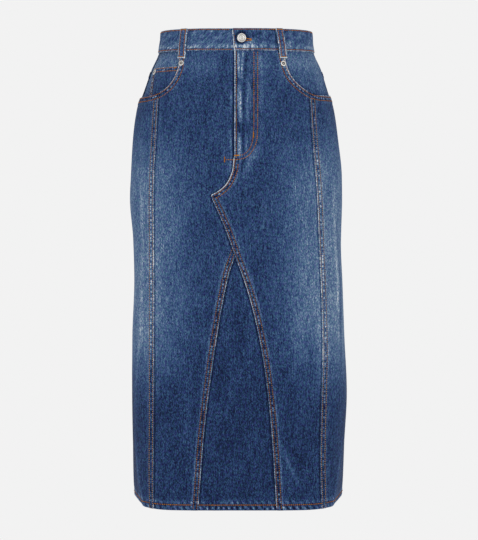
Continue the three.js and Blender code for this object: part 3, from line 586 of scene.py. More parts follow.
def washedDenim(name, look):
    material, tree = newMaterial(name)
    uv = addNode(tree, "ShaderNodeUVMap", uv_map="UVMap").outputs["UV"]

    def placed(wide, long):
        scale = (1000 / wide, 1000 / long, 1)
        return addNode(tree, "ShaderNodeMapping", {"Vector": uv, "Scale": scale}).outputs[0]

    def noise(wide, long, detail):
        return noiseAt(tree, placed(wide, long), 1.0, detail, 0.6, "2D")

    def attribute(key):
        return addNode(tree, "ShaderNodeAttribute", attribute_name=key).outputs["Fac"]

    def crownOf(place, top, soft):
        return mathNode(tree, "SMOOTH_MIN", mathNode(tree, "PINGPONG", place, 0.5), top, soft)

    slub = noise(look["slubWide"], look["slubLong"], 3.0)
    diagonal = addNode(tree, "ShaderNodeMapping", {
        "Vector": uv, "Rotation": (0, 0, math.pi / 4),
        "Scale": (look["twillWide"] * mm, look["twillLong"] * mm, 1)}, vector_type="TEXTURE")
    twill = noiseAt(tree, diagonal.outputs[0], 1.0, 2.0, 0.5, "2D")
    grain = noise(look["grain"], look["grain"] * 1.3, 1.0)
    cloud = noise(look["cloud"], look["cloud"] * 2.2, 4.0)
    floats = placed(look["floatWide"], look["floatLong"])
    cells = addNode(tree, "ShaderNodeSeparateXYZ", {0: floats}).outputs
    column = mathNode(tree, "FLOOR", cells["X"])
    stepped = mathNode(tree, "MULTIPLY_ADD", column, look["floatStep"], cells["Y"])
    cell = addNode(tree, "ShaderNodeCombineXYZ", {"X": column, "Y": mathNode(tree, "FLOOR", stepped)})
    dye = addNode(tree, "ShaderNodeTexWhiteNoise", {"Vector": cell.outputs[0]}, noise_dimensions="2D")
    crown = mathNode(tree, "MULTIPLY", crownOf(cells["X"], *look["crownWide"]),
                     crownOf(stepped, *look["crownLong"]))
    spots = addNode(tree, "ShaderNodeTexVoronoi", {
        "Vector": placed(look["puckerPitch"], look["puckerPitch"]), "Scale": 1.0,
        "Randomness": look["puckerStray"]}, voronoi_dimensions="2D").outputs["Distance"]
    pucker = mathNode(tree, "MULTIPLY", attribute("puckered"), ranged(tree, spots, *look["puckerSpot"]))
    wornAndShaded = mathNode(tree, "MULTIPLY", attribute("wornAndShaded"), ranged(tree, grain, *look["broken"]))
    mixed = [scaled(tree, value, look[key]) for value, key in (
        (slub, "slubMix"), (twill, "twillMix"), (grain, "grainMix"), (cloud, "cloudMix"),
        (dye.outputs["Value"], "floatMix"))]
    # The wash and the wear carry painted highlights and painted shade as well as real fading
    amount = sumOf(tree, attribute("washAndPaintedLight"), wornAndShaded, pucker, *mixed,
                   scaled(tree, crown, 1.0, look["crownMean"] - look["base"]))
    hue = mathNode(tree, "MULTIPLY_ADD", noise(look["grain"] * 1.6, look["grain"] * 2.4, 2.0),
                   look["tint"] * 4, 0.5 - look["tint"] * 2)
    tinted = addNode(tree, "ShaderNodeHueSaturation", {
        "Hue": hue, "Color": colored(tree, amount, look["stops"])})
    relief = sumOf(tree, pucker, scaled(tree, crown, look["crownBump"]),
                   scaled(tree, slub, look["threadBump"]), scaled(tree, grain, look["threadBump"]))
    raised = addNode(tree, "ShaderNodeBump", {
        "Height": relief, "Strength": look["bump"], "Distance": look["relief"]})
    return finishMaterial(material, {
        "Base Color": tinted.outputs["Color"], "Roughness": look["roughness"],
        "Sheen Weight": look["sheen"], "Sheen Roughness": 0.5, "Specular IOR Level": look["specular"],
        "Normal": raised.outputs["Normal"]})


# The back of the twill, where the undyed weft lies over the indigo: a pale, greyer blue
reverseLook = dict(denimLook, base=0.55, stops=[
    (0.0, "#33476b"), (0.3, "#566c8d"), (0.6, "#8899af"), (0.85, "#acb7c3"), (1.0, "#c9d0d6")])


# Cotton topstitching thread, thick and softly lustrous, its dye uneven along its length
def stitchThread(name, dark, light):
    material, tree = newMaterial(name)
    noise = noiseAt(tree, objectPlace(tree), 260.0, 2.0)
    return finishMaterial(material, {
        "Base Color": colored(tree, noise, [(0.32, dark), (0.68, light)]), "Roughness": 0.7,
        "Sheen Weight": 0.04, "Specular IOR Level": 0.15})


# Nickel plate over zinc, tumbled: pale grey metal with a soft polish and faint rubbed patches
def nickelPlate(name, dark, light, roughness):
    material, tree = newMaterial(name)
    noise = noiseAt(tree, objectPlace(tree), 900.0, 3.0)
    return finishMaterial(material, {
        "Base Color": colored(tree, noise, [(0.0, dark), (1.0, light)]), "Metallic": 1.0,
        "Roughness": ranged(tree, noise, 0, 1, roughness - 0.1, roughness + 0.1)})


# Plain-woven cloth such as unbleached pocketing or zip tape: a fine even crosshatch, no shine
def plainWeave(name, dark, light, pitch):
    material, tree = newMaterial(name)
    place = objectPlace(tree)
    waves = [addNode(tree, "ShaderNodeTexWave", {"Vector": place, "Scale": 314 / pitch, "Distortion": 0.6},
                     bands_direction=direction).outputs["Fac"] for direction in ("X", "Z")]
    woven = sumOf(tree, scaled(tree, waves[0], 0.25, 0.0), scaled(tree, waves[1], 0.25, 0.0),
                  scaled(tree, noiseAt(tree, place, 140.0, 3.0), 0.6, 0.1))
    raised = addNode(tree, "ShaderNodeBump", {"Height": woven, "Strength": 0.3, "Distance": 0.0002})
    return finishMaterial(material, {
        "Base Color": colored(tree, woven, [(0.0, dark), (1.0, light)]), "Roughness": 0.9,
        "Normal": raised.outputs["Normal"]})


denim = washedDenim("washedDenim", denimLook)
reverse = washedDenim("denimReverse", reverseLook)
rustThread = stitchThread("rustTopstitch", "#8b5009", "#c07b1a")
brownThread = stitchThread("brownTopstitch", "#6e4622", "#a0703c")
tanThread = stitchThread("fadedTopstitch", "#8f6d48", "#b39270")
nickel = nickelPlate("nickelPlate", "#c4c1bc", "#f0efec", 0.34)
tarnish = nickelPlate("tarnishedNickel", "#4a4743", "#6b6762", 0.55)
pocketing = plainWeave("unbleachedPocketing", "#b9b09a", "#ded7c4", 1.1)
zipTape = plainWeave("navyZipTape", "#111a30", "#26365a", 1.3)
sheetMaterials = [denim, reverse]
print("materials ready")


def newMesh(name, points, faces, materials=()):
    mesh = bpy.data.meshes.new(name)
    mesh.from_pydata(points, [], faces)
    for material in materials:
        mesh.materials.append(material)
    return mesh


def smoothAll(mesh):
    mesh.polygons.foreach_set("use_smooth", np.ones(len(mesh.polygons), bool))


def newPiece(name, content):
    piece = bpy.data.objects.new(name, content)
    bpy.context.scene.collection.objects.link(piece)
    return piece


# One sheet of cloth as a closed shell, its face and its back on the same grid
def meshFromGrid(name, face, back, uv, values, materials):
    rows, columns = face.shape[:2]
    points = np.concatenate([face.reshape(-1, 3), back.reshape(-1, 3)]) * mm
    index = np.arange(rows * columns).reshape(rows, columns)
    under = index + rows * columns

    def quads(*corners):
        return np.stack([corner.ravel() for corner in corners], -1)

    faceQuads = quads(index[:-1, :-1], index[1:, :-1], index[1:, 1:], index[:-1, 1:])
    backQuads = quads(under[:-1, :-1], under[:-1, 1:], under[1:, 1:], under[1:, :-1])
    rims = [
        quads(index[0, :-1], index[0, 1:], under[0, 1:], under[0, :-1]),
        quads(index[-1, 1:], index[-1, :-1], under[-1, :-1], under[-1, 1:]),
        quads(index[1:, 0], index[:-1, 0], under[:-1, 0], under[1:, 0]),
        quads(index[:-1, -1], index[1:, -1], under[1:, -1], under[:-1, -1]),
    ]
    polygons = np.concatenate([faceQuads, *rims, backQuads])
    mesh = newMesh(name, points.tolist(), polygons.tolist(), materials)
    side = np.zeros(len(polygons), np.int32)
    side[-len(backQuads):] = len(materials) - 1
    mesh.polygons.foreach_set("material_index", side)
    smoothAll(mesh)
    layer = mesh.uv_layers.new(name="UVMap")
    corners = np.zeros(len(mesh.loops), np.int32)
    mesh.loops.foreach_get("vertex_index", corners)
    both = np.concatenate([uv.reshape(-1, 2), uv.reshape(-1, 2)]) * mm
    layer.data.foreach_set("uv", both[corners].astype(np.float32).ravel())
    for key, value in values.items():
        attribute = mesh.attributes.new(key, "FLOAT", "POINT")
        attribute.data.foreach_set("value", np.tile(value.ravel(), 2).astype(np.float32))
    mesh.set_sharp_from_angle(angle=math.radians(55))
    mesh.update()
    return newPiece(name, mesh)


# Places of columns beside an edge, closer together where the cloth turns or is sewn
stops = {
    "lap": (0, 0.3, 0.7, 1.2, 1.7, 2.3, 3.1, 4, 5, 6, 6.8, 7.4, 8.2, 9.2, 10.5, 12.2, 14),
    "under": (0, 4, 7, 8.3, 9, 9.7, 10.5, 11.6, 13.2, 15),
    "plain": (0, 0.5, 1.1, 1.8, 2.7, 4),
    "hem": (0, 0.3, 0.8, 1.5, 2.4, 3.4, 4.5, 5.6, 6.7, 7.6, 8.4, 9, 9.6, 10.5, 11.6, 13, 14.6, 16.6),
    "open": (0, 1.5, 3.5),
}


# A grid of places between four edges. stopsAt names the stops of its left, right, top and bottom
# edge, step and rise are the grid's pitch between them, and the columns' places at the height level
# say where the top and the bottom edge are read.
def clothGrid(left, right, top, bottom, level, stopsAt, step, rise):
    a, b, c, d = [np.array(stops[key]) for key in stopsAt.split()]
    wide = float(right(level) - left(level))
    count = max(3, int((wide - a[-1] - b[-1]) / step))
    share = np.linspace(0, 1, count + 1)[1:-1]

    def columnsAt(z):
        low, high = left(z), right(z)
        fit = np.minimum(1, (high - low) / (1.25 * (a[-1] + b[-1])))
        inner = low + a[-1] * fit
        outer = high - b[-1] * fit
        parts = [low + k * fit for k in a] + [inner + s * (outer - inner) for s in share]
        return np.stack(parts + [high - k * fit for k in b[::-1]], -1)

    nominal = columnsAt(np.array(float(level)))
    high, low = top(nominal), bottom(nominal)
    tall = float(np.max(high - low))
    rows = max(3, int((tall - c[-1] - d[-1]) / rise))
    places = np.concatenate([c, np.linspace(c[-1], tall - d[-1], rows + 1)[1:-1], tall - d[::-1]])
    z = high[None, :] - (places / tall)[:, None] * (high - low)[None, :]
    u = np.empty(z.shape)
    for j in range(z.shape[1]):
        u[:, j] = columnsAt(z[:, j])[:, j]
    return u, z


# The least share of its cut's rectangle that a sheet may be said to fill
leastFill = 0.31


# A finished sheet: its shape, and its wear and painted shade, from functions of (u, z). Its area and the
# size of the cut it came from are worked out.
# Without a shape of its own the inside lies one thickness under the outside.
def sewSheet(name, node, grid, outer, inner, wearAndShade, materials=sheetMaterials):
    u, z = grid
    point, _, _, out = frameOnForm(u, z)
    base = foldDepth(u, z)
    high = outer(u, z)
    low = inner(u, z) if inner else high - cloth
    wornAndShaded = wearAndShade(u, z)
    face, back = [point + out * (base + height)[..., None] for height in (high, low)]
    values = {"washAndPaintedLight": washAndPaintedLightAt(u, z), "wornAndShaded": np.real(wornAndShaded), "puckered": np.imag(wornAndShaded)}
    piece = meshFromGrid(name, face, back, np.stack([u, z], -1), values, materials)
    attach(piece, "root")
    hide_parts(node)
    wide = u.max(axis=1) - u.min(axis=1)
    area = float(abs(np.trapz(wide, z.mean(axis=1)))) * mm * mm
    cut = (float(wide.max()) * mm, float(z.max() - z.min()) * mm)
    area = min(max(area, leastFill * cut[0] * cut[1]), cut[0] * cut[1])
    return piece


def fromLine(key):
    return lambda u, z: distanceTo(lines[key], u, z)


dFly, dRightGore = fromLine("flyAndCrotch"), fromLine("rightGore")
dRightMouth, dLeftMouth = fromLine("rightMouth"), fromLine("leftMouth")
dRightSide, dLeftSide = fromLine("rightSide"), fromLine("leftSide")


# Each panel's own height over the form, and its wear and painted shade. Flap is the width in which
# the fly's lap wins over the pocket mouth's. Crotch, below and over are heights between which the
# fly's wear becomes the crotch's, the right front stops passing under the left one and comes out over
# the gore. Past is how far below the mouth's end its lap still shows, ripple how far a washed ripple
# stands, and flyRowShade the painted shade in the groove of the fly's row.
front = {"flap": 12.5, "crotch": (-206, -200), "below": (355, 366), "over": (364, 376), "past": 3,
         "ripple": 0.7, "flyEdge": 0.64, "flyRowShade": 0.5, "curve": 0.45, "seed": 1.3}


def atMouth(z):
    return z > mouthLevel - front["past"]


def frontLeftOuter(u, z):
    fly, mouth = dFly(u, z), dLeftMouth(u, z)
    tuck = underSink(leftSide(z) - u) * (z < mouthLevel)
    onFly = lapStand(fly)
    onMouth = lapStand(mouth, lap["wideRows"]) * atMouth(z)
    lapped = np.where(fly < front["flap"], onFly, np.maximum(onFly, onMouth))
    return lapped + tuck + front["ripple"] * rippleAt(u, z) + hemStand(u, z)


def frontLeftInside(u, z):
    return hemInside(u, z, backOfLap(lapInside(dFly(u, z)), frontLeftOuter(u, z)))


def frontLeftWearAndShade(u, z):
    fly, mouth = dFly(u, z), dLeftMouth(u, z)
    tuck = shadowBesideLap(leftSide(z) - u) * (z < mouthLevel)
    below = 1 - ease(z, *front["crotch"])
    # The fly's pale worn edge, and painted shade in the groove of its row
    edge = front["flyEdge"] * bump(fly, 1.3, 1.1) - front["flyRowShade"] * bump(fly, lap["flyRow"] + 0.2, 1.2)
    curved = front["curve"] * bump(fly, 0.5, 1.3) * (z > cornerLevel)
    onFly = below * (lapWearAndShade(fly, z, front["seed"]) + curved) + (1 - below) * edge
    onMouth = mouthWearAndShade(mouth, u + z, 2.2) * (z > mouthLevel - 1)
    return onFly + onMouth + tuck + rippleAt(u, z) + hemWearAndShade(u, z)


def frontRightOuter(u, z):
    below = underSink(frontLeftInner(z) - u) * (1 - ease(-z, *front["below"]))
    tuck = underSink(u - rightSide(z)) * (z < mouthLevel)
    overGore = lapStand(dRightGore(u, z)) * ease(-z, *front["over"])
    onMouth = lapStand(dRightMouth(u, z), lap["wideRows"]) * atMouth(z)
    return below + tuck + overGore + onMouth + front["ripple"] * rippleAt(u, z) + hemStand(u, z)


def frontRightInside(u, z):
    outer = frontRightOuter(u, z)
    overGore = backOfLap(lapInside(dRightGore(u, z)), outer)
    return hemInside(u, z, np.where(z < -front["over"][1], overGore, outer - cloth))


def frontRightWearAndShade(u, z):
    below = shadowBesideLap(frontLeftInner(z) - u) * (1 - ease(-z, *front["below"]))
    tuck = shadowBesideLap(u - rightSide(z)) * (z < mouthLevel)
    overGore = lapWearAndShade(dRightGore(u, z), z, 0.7) * ease(-z, front["over"][0], 370)
    onMouth = mouthWearAndShade(dRightMouth(u, z), u + z, 3.1) * (z > mouthLevel - 1)
    return below + tuck + overGore + onMouth + rippleAt(u, z) + hemWearAndShade(u, z)


def goreEdge(u, z):
    return np.minimum(u - rightInner(z), leftInner(z) - u)


def goreOuter(u, z):
    return underSink(goreEdge(u, z)) + hemStand(u, z)


def addFronts():
    tucked = (89, 96)

    def frontLeftRight(z):
        low = leftSide(z) + lap["under"] * ease(-z, *tucked)
        return np.where(z > mouthLevel, leftMouth(z), low)

    def frontRightLeft(z):
        low = rightSide(z) - lap["under"] * ease(-z, *tucked)
        return np.where(z > mouthLevel, rightMouth(z), low)

    def frontRightRight(z):
        return frontRightInner(z) + lap["under"] * (1 - ease(-z, 340, 362))

    level = -500
    grid = clothGrid(frontLeftInner, frontLeftRight, steady(panelTop), steady(hem), level,
                     "lap under open hem", 2.0, 3.0)
    sewSheet("frontLeftCloth", "front_left", grid, frontLeftOuter, frontLeftInside, frontLeftWearAndShade)
    grid = clothGrid(frontRightLeft, frontRightRight, steady(panelTop), steady(hem), level,
                     "under lap open hem", 2.0, 3.0)
    sewSheet("frontRightCloth", "front_right", grid, frontRightOuter, frontRightInside, frontRightWearAndShade)
    grid = clothGrid(lambda z: rightInner(z) - lap["under"], lambda z: leftInner(z) + lap["under"],
                     steady(goreTop + 8), steady(hem), level, "under under open hem", 2.2, 3.0)
    sewSheet("goreCloth", "gore", grid, goreOuter,
             lambda u, z: hemInside(u, z, goreOuter(u, z) - cloth),
             lambda u, z: shadowBesideLap(goreEdge(u, z)) + hemWearAndShade(u, z) - 0.03)


seamGap = 0.02
sideFronts = [
    {"name": "sideFrontRightCloth", "node": "side_front_right", "line": "rightSide", "seam": dRightSide,
     "floor": rightFloor, "side": sideRight, "seed": 4.4, "stops": "plain lap lap hem",
     "left": lambda z: sideRight(z) + seamGap, "right": rightSide},
    {"name": "sideFrontLeftCloth", "node": "side_front_left", "line": "leftSide", "seam": dLeftSide,
     "floor": leftFloor, "side": sideLeft, "seed": 5.3, "stops": "lap plain lap hem",
     "left": leftSide, "right": lambda z: sideLeft(z) - seamGap},
]


def sideOuter(part, u, z):
    seam, top = part["seam"](u, z), part["floor"](u) - z
    atSeam, atTop = lapStand(seam, lap["wideRows"]), lapStand(top, lap["wideRows"])
    lapped = edgeFirst(edgeFirst(np.maximum(atSeam, atTop), seam, atSeam), top, atTop)
    return lapped + plainSeam(np.abs(part["side"](z) - u)) + hemStand(u, z)


def sideInside(part, u, z):
    tucked = lapInside(part["seam"](u, z), lap["wideRows"])
    return hemInside(u, z, backOfLap(tucked, sideOuter(part, u, z)))


def sideWearAndShade(part, u, z):
    top = part["floor"](u) - z
    seam = lapWearAndShade(part["seam"](u, z), z, part["seed"], lap["wideRows"], 0.22, lap["wideEdge"])
    atTop = mouthWearAndShade(top, u, part["seed"] + 1)
    # Painted shade in the groove of the plain side seam
    sideSeamShade = 0.1 * bump(part["side"](z) - u, 0, 2.5)
    return 0.84 * seam * ease(top, 9, 10.5) + atTop - sideSeamShade + hemWearAndShade(u, z)


def addSideFronts():
    for part in sideFronts:
        grid = clothGrid(part["left"], part["right"], part["floor"], steady(hem), -300, part["stops"],
                         2.0, 3.0)
        sewSheet(part["name"], part["node"], grid, lambda u, z: sideOuter(part, u, z),
                 lambda u, z: sideInside(part, u, z), lambda u, z: sideWearAndShade(part, u, z))


def backFrom(u, z):
    return np.where(u > 0, backLeft(z) - u, u - backRight(z))


def sideFrom(u, z):
    return np.where(u > 0, u - sideLeft(z), sideRight(z) - u)


# At the back the left panel laps over the right one, and each panel laps over its yoke
def backOuter(isLeft, u, z):
    yoke, centre = yokeSeam(u, z) - z, backFrom(u, z)
    atYoke = lapStand(yoke)
    if isLeft:
        height = np.maximum(atYoke, lapStand(centre))
    else:
        height = atYoke * ease(centre, -1, 2) + underSink(centre)
    return edgeFirst(height, yoke, atYoke) + plainSeam(sideFrom(u, z)) + hemStand(u, z)


def backInside(isLeft, u, z):
    high = backOuter(isLeft, u, z)
    tucked = lapInside(backFrom(u, z)) if isLeft else high - cloth
    return hemInside(u, z, backOfLap(tucked, high))


def backWearAndShade(isLeft, u, z):
    yoke, centre = yokeSeam(u, z) - z, backFrom(u, z)
    middle = lapWearAndShade(centre, z, 7.7) * ease(yoke, 8, 9.5) if isLeft else shadowBesideLap(centre)
    # Painted shade in the groove of the plain side seam
    return 0.8 * lapWearAndShade(yoke, u, 6.1) + 0.8 * middle - 0.1 * bump(sideFrom(u, z), 0, 2.5) + hemWearAndShade(u, z)


def yokeOuter(isLeft, u, z):
    centre = backFrom(u, z)
    middle = lapStand(centre) if isLeft else underSink(centre)
    return underSink(z - yokeSeam(u, z)) + middle + plainSeam(sideFrom(u, z))


def yokeWearAndShade(isLeft, u, z):
    centre = backFrom(u, z)
    return shadowBesideLap(z - yokeSeam(u, z)) + (0.8 * lapWearAndShade(centre, z, 8.2) if isLeft else shadowBesideLap(centre))


def addBack():
    level, yokeRead = -300, -60
    for isLeft in (False, True):
        if isLeft:
            edges, ends, side = (lambda z: sideLeft(z) + seamGap, backLeft), "plain lap", "left"
        else:
            edges = (lambda z: backRight(z) - lap["under"], lambda z: sideRight(z) - seamGap)
            ends, side = "under plain", "right"
        grid = clothGrid(*edges, lambda u: yokeSeam(u, level), steady(hem), level, ends + " lap hem",
                         2.6, 3.4)
        sewSheet("back" + side.title() + "Cloth", "back_" + side, grid,
                 lambda u, z: backOuter(isLeft, u, z), lambda u, z: backInside(isLeft, u, z),
                 lambda u, z: backWearAndShade(isLeft, u, z))
        grid = clothGrid(*edges, steady(panelTop), lambda u: yokeSeam(u, yokeRead) - lap["under"], yokeRead,
                         ends + " open under", 2.6, 2.6)
        sewSheet("yoke" + side.title() + "Cloth", "yoke_" + side, grid,
                 lambda u, z: yokeOuter(isLeft, u, z), None, lambda u, z: yokeWearAndShade(isLeft, u, z))


addFronts()
addSideFronts()
addBack()
print("panels ready")

# The waistband: one folded strip whose ends pass each other at the front, the left end on top. The
# marks are where it is rubbed pale, or darkened with painted shade in its creases and painted shadow
# beside the lap's end, as heights of wear; slant is u for each z.
band = {"thick": 2.4, "proud": 0.9, "gap": 0.3, "underlap": 42, "endTop": -6.5, "endBottom": -3.0,
        "lapEnd": 46, "lapEase": 40, "rowIn": 2.0, "lowRow": 1.9, "columns": 520, "wash": 0.17,
        "button": (9.3, 1.6), "shade": (8.9, 2.4), "creaseHighlightAndShade": (-131.8, 17, 0.52)}
bandRows = (0, 0.25, 0.7, 1.3, 2, 2.7, 3.6, 5, 7, 9.5, 12, 14.5, 17.5, 20, 22.4, 24.4, 26.2, 27.8, 29.2,
            30.4, 31.4, 32.2, 32.9, 33.5, 34.1, 34.6, 35.0)
bandRubsAndShade = table(
    "strength u wide slant z high",
    (0.26, 12, 13, 0, -12, 3.2), (-0.22, 30, 12, 0, 8, 6), (-0.2, 46.8, 7, 1.4, 2, 9),
    (0.2, 14, 12, -1.2, -5, 4), (-0.26, 0.6, 9, 2.2, -8, 5), (-0.14, -9.5, 3, 0, 0, 1e6))
bandShift = (band["thick"] + band["gap"]) / 2


def bandOffset(u):
    top = bandShift * (1 - ease(u, band["lapEnd"], band["lapEnd"] + band["lapEase"]))
    return np.where(u > band["endTop"], top, 0)


# Puckers stand upright on the band, so they follow its own rows and not the form's
def bandPuckers(u, z):
    return puckers(u * float(girth(0)) / girth(z), 6.4, 9.1)


def bandBase(u, z):
    around = girth(z)
    under = ease(u, around - 55, around - 12)
    return band["proud"] + bandOffset(np.minimum(u, around / 2)) - bandShift * under


def bandStart(z):
    return band["endTop"] + (bandTop - z) / (bandTop - bandBottom) * (band["endBottom"] - band["endTop"])


def bandDetail(u, z):
    up, down, start = z - bandBottom, bandTop - z, u - bandStart(z)
    rows = -0.3 * (bump(down, band["rowIn"], 0.8) + bump(up, band["lowRow"], 0.8))
    edges = -0.75 * (bump(up, 0, 0.7) + bump(down, 0, 0.7))
    ridge = 0.25 * bump(up, 0.9, 0.9)
    pucker = 0.35 * bandPuckers(u, z) * bump(up, 7.0, 3.2)
    end = -0.7 * bump(start, 0, 0.6) - 0.25 * bump(start, 2.6, 0.8)
    soft = 0.35 * uneven(u, z * 1.3, 42, 3) * bump(z, 0, 14)
    button = 0.5 * bump(np.hypot(u - band["button"][0], z - band["button"][1]), 10.5, 2.5)
    return rows + edges + ridge + pucker + end + soft + button


def bandSurface(u, z):
    return bandBase(u, z) + bandDetail(u, z)


def bandWearAndShade(u, z):
    up, down, start = z - bandBottom, bandTop - z, u - bandStart(z)
    wearAndShade = (0.16 + 0.32 * bandPuckers(u, z)) * bump(up, 6.8, 3.2) * (1 - 0.8 * bump(u, -15, 8))
    wearAndShade = wearAndShade + 0.3 * bump(up, 0.1, 0.7) + 0.14 * bump(down, 0.2, 0.9) + 0.62 * bump(start, 0.4, 1.2)
    # Painted shade in the grooves of the band's two rows
    wearAndShade = wearAndShade - 0.26 * (bump(down, band["rowIn"], 1.1) + bump(up, band["lowRow"] + 0.3, 1.2))
    shadeU, shadeZ = band["shade"]
    wearAndShade = wearAndShade - 0.5 * bump(np.hypot(u - shadeU, (z - shadeZ) * 1.05), 9.0, 2.6)
    # Rubbed pale marks, and painted shade in creases and beside the lap's end
    for mark in bandRubsAndShade:
        across = bump(u - mark["slant"] * z, mark["u"], mark["wide"])
        wearAndShade = wearAndShade + mark["strength"] * across * bump(z, mark["z"], mark["high"])
    # Along the crease where the band turns: a painted highlight on the fold and painted shade beyond it
    creaseU, creaseZ, slant = band["creaseHighlightAndShade"]
    across = u - creaseU - slant * (z - creaseZ)
    creaseHighlightAndShade = 0.24 * bump(across, 0, 1.6) - 0.16 * bump(across, -6, 4)
    # Painted shadow beside the front-left loop
    loop = loopRows[1]
    loopShadow = -0.26 * bump(u - loopMiddle(loop, z), -loop["width"] / 2 - 1.4, 1.8)
    return wearAndShade + creaseHighlightAndShade + loopShadow + 0.1 * uneven(u * 0.8, z * 1.3, 19, 21) + band["wash"]


def addWaistband():
    z = np.repeat((bandTop - np.array(bandRows))[:, None], band["columns"] + 1, axis=1)
    start = bandStart(z)
    share = np.arange(band["columns"] + 1) / band["columns"]
    u = start + share[None, :] * (girth(z) + band["underlap"] - start)

    def inside(u, z):
        turn = 0.5 * (bump(z, bandTop, 0.7) + bump(z, bandBottom, 0.7))
        return bandBase(u, z) - band["thick"] + turn

    sewSheet("waistbandCloth", "waistband", (u, z), bandSurface, inside, bandWearAndShade,
             [denim])


# Belt loops, each folded lengthways, sewn with two rows and caught down below the band
ringRight, ringLeft, ringBack = float(sideRight(0)), float(sideLeft(0)), float(backLeft(0))
loopRows = table(
    "name node top bottom width",
    ("loopFrontRightCloth", "belt_loop_front_right", -86.1, -90.8, 13.4),
    ("loopFrontLeftCloth", "belt_loop_front_left", 70.8, 78.9, 12.2),
    ("loopBackRightCloth", "belt_loop_back_right", ringRight - 78, ringRight - 84, 12.2),
    ("loopBackLeftCloth", "belt_loop_back_left", ringLeft + 78, ringLeft + 84, 12.2),
    ("loopBackCentreCloth", "belt_loop_back_centre", ringBack, ringBack + 6, 12.2))
loopSize = {"thick": 1.8, "bottom": -30.8, "gap": 0.6, "rowIn": 2.8, "wash": 0.17}
loopColumns = (0, 0.02, 0.06, 0.11, 0.17, 0.23, 0.31, 0.4, 0.5, 0.6, 0.69, 0.77, 0.83, 0.89, 0.94, 0.98, 1)
loopStand = curve("z stand", (17.5, 0.4), (11, 1.2), (2, 1.7), (-8, 1.5), (-16, 0.9), (-20, 0.2),
                  (-24, -0.35), (-30.8, -0.4))


def loopMiddle(loop, z):
    return loop["top"] + (bandTop - z) / (bandTop - loopSize["bottom"]) * (loop["bottom"] - loop["top"])


def loopInner(loop, z):
    base = bandOffset(np.array(loop["top"])) + band["proud"]
    caught = ease(z, bandBottom - 5, bandBottom - 2)
    return caught * base + (1 - caught) * band["proud"] + loopSize["gap"] + loopStand(z)


def loopOuter(loop, u, z):
    across = np.abs(u - loopMiddle(loop, z))
    edge = loop["width"] / 2 - across
    height = loopInner(loop, z) + loopSize["thick"] - 0.75 * bump(edge, 0, 0.6)
    grooves = -0.3 * bump(edge, loopSize["rowIn"], 0.8)
    ends = -0.6 * (bump(z, bandTop, 0.8) + bump(z, loopSize["bottom"], 0.6)) - 0.25 * bump(z, -27.6, 0.9)
    return height + grooves + ends + 0.16 * puckers(z, 5.0, loop["top"]) * bump(across, 0, 2.2)


def loopWearAndShade(loop, u, z):
    across = np.abs(u - loopMiddle(loop, z))
    edge = loop["width"] / 2 - across
    # Pale rubbed edges, and painted shade in the grooves of the two rows
    rows = 0.4 * bump(edge, 0.4, 1.4) - 0.26 * bump(edge, loopSize["rowIn"] + 0.1, 1.0)
    ends = 0.5 * bump(z, loopSize["bottom"] + 0.8, 1.1)
    return rows + ends + 0.14 * puckers(z, 6.0, loop["top"]) * bump(across, 0, 2.5) + loopSize["wash"]


def addBeltLoops():
    down = np.concatenate([np.linspace(bandTop, -26, 38), np.linspace(-26.5, loopSize["bottom"], 10)])
    share = np.array(loopColumns)
    z = np.repeat(down[:, None], len(share), axis=1)
    for loop in loopRows:
        u = loopMiddle(loop, z) + (share[None, :] - 0.5) * loop["width"]
        sewSheet(loop["name"], loop["node"], (u, z), lambda a, b: loopOuter(loop, a, b),
                 lambda a, b: loopInner(loop, b) + 0 * a, lambda a, b: loopWearAndShade(loop, a, b),
                 [denim])


addWaistband()
addBeltLoops()
print("waistband ready")


def between(top, bottom, high, low):
    return lambda z: top + (high - z) / (high - low) * (bottom - top)


# Behind each pocket mouth lies a facing, with a plain bag below it; a coin pocket is sewn on the
# right facing
coin = {"top": -44.0, "rise": 1.2, "bottom": -99.0, "outerTop": -162.5, "outerBottom": -157.5,
        "inner": -93.0, "sideRows": (1.6, 6.6), "topRows": (1.8, 7.4), "depth": -cloth - 0.6}
bagSize = {"top": -112, "bottom": -238, "corner": -208, "drop": 30}
frontPockets = [
    {"side": "right", "depth": coin["depth"] - cloth - 0.6, "mouth": dRightMouth, "left": sideRight,
     "right": between(-82, -104, -17.8, bagSize["top"]),
     "bagLeft": between(-216, -190, bagSize["top"], bagSize["bottom"]),
     "bagRight": between(-104, -118, bagSize["top"], bagSize["bottom"])},
    {"side": "left", "depth": -cloth - 0.6, "mouth": dLeftMouth, "right": sideLeft,
     "left": between(66, 98, -17.8, bagSize["top"]),
     "bagLeft": between(98, 112, bagSize["top"], bagSize["bottom"]),
     "bagRight": between(214, 188, bagSize["top"], bagSize["bottom"])},
]
coinEdge = between(coin["outerTop"], coin["outerBottom"], coin["top"], coin["bottom"])


def coinTop(u):
    return coin["top"] + coin["rise"] * (u - coin["outerTop"]) / (coin["inner"] - coin["outerTop"])


def coinRowsAt(edge, top, width):
    return (sum(bump(edge, row, width) for row in coin["sideRows"])
            + sum(bump(top, row, width) for row in coin["topRows"]))


def coinOuter(u, z):
    edge, top = u - coinEdge(z), coinTop(u) - z
    rounded = 0.5 * (bump(edge, 0, 0.6) + bump(top, 0, 0.6))
    return coin["depth"] - rounded - 0.26 * coinRowsAt(edge, top, 0.8)


def coinWearAndShade(u, z):
    edge, top = u - coinEdge(z), coinTop(u) - z
    edges = 0.44 * bump(top, 0.3, 1.2) + 0.34 * bump(edge, 0.3, 1.2)
    middle = (bump(top, 4.6, 1.9) + bump(edge, 4.1, 1.8)) * (0.14 + 1j * lap["pucker"])
    # Painted shade in the grooves of the rows, and painted shadow under the edge of the pocket mouth
    return edges - 0.22 * coinRowsAt(edge, top, 1) + middle - 0.1 * bump(dRightMouth(u, z), 0, 4)


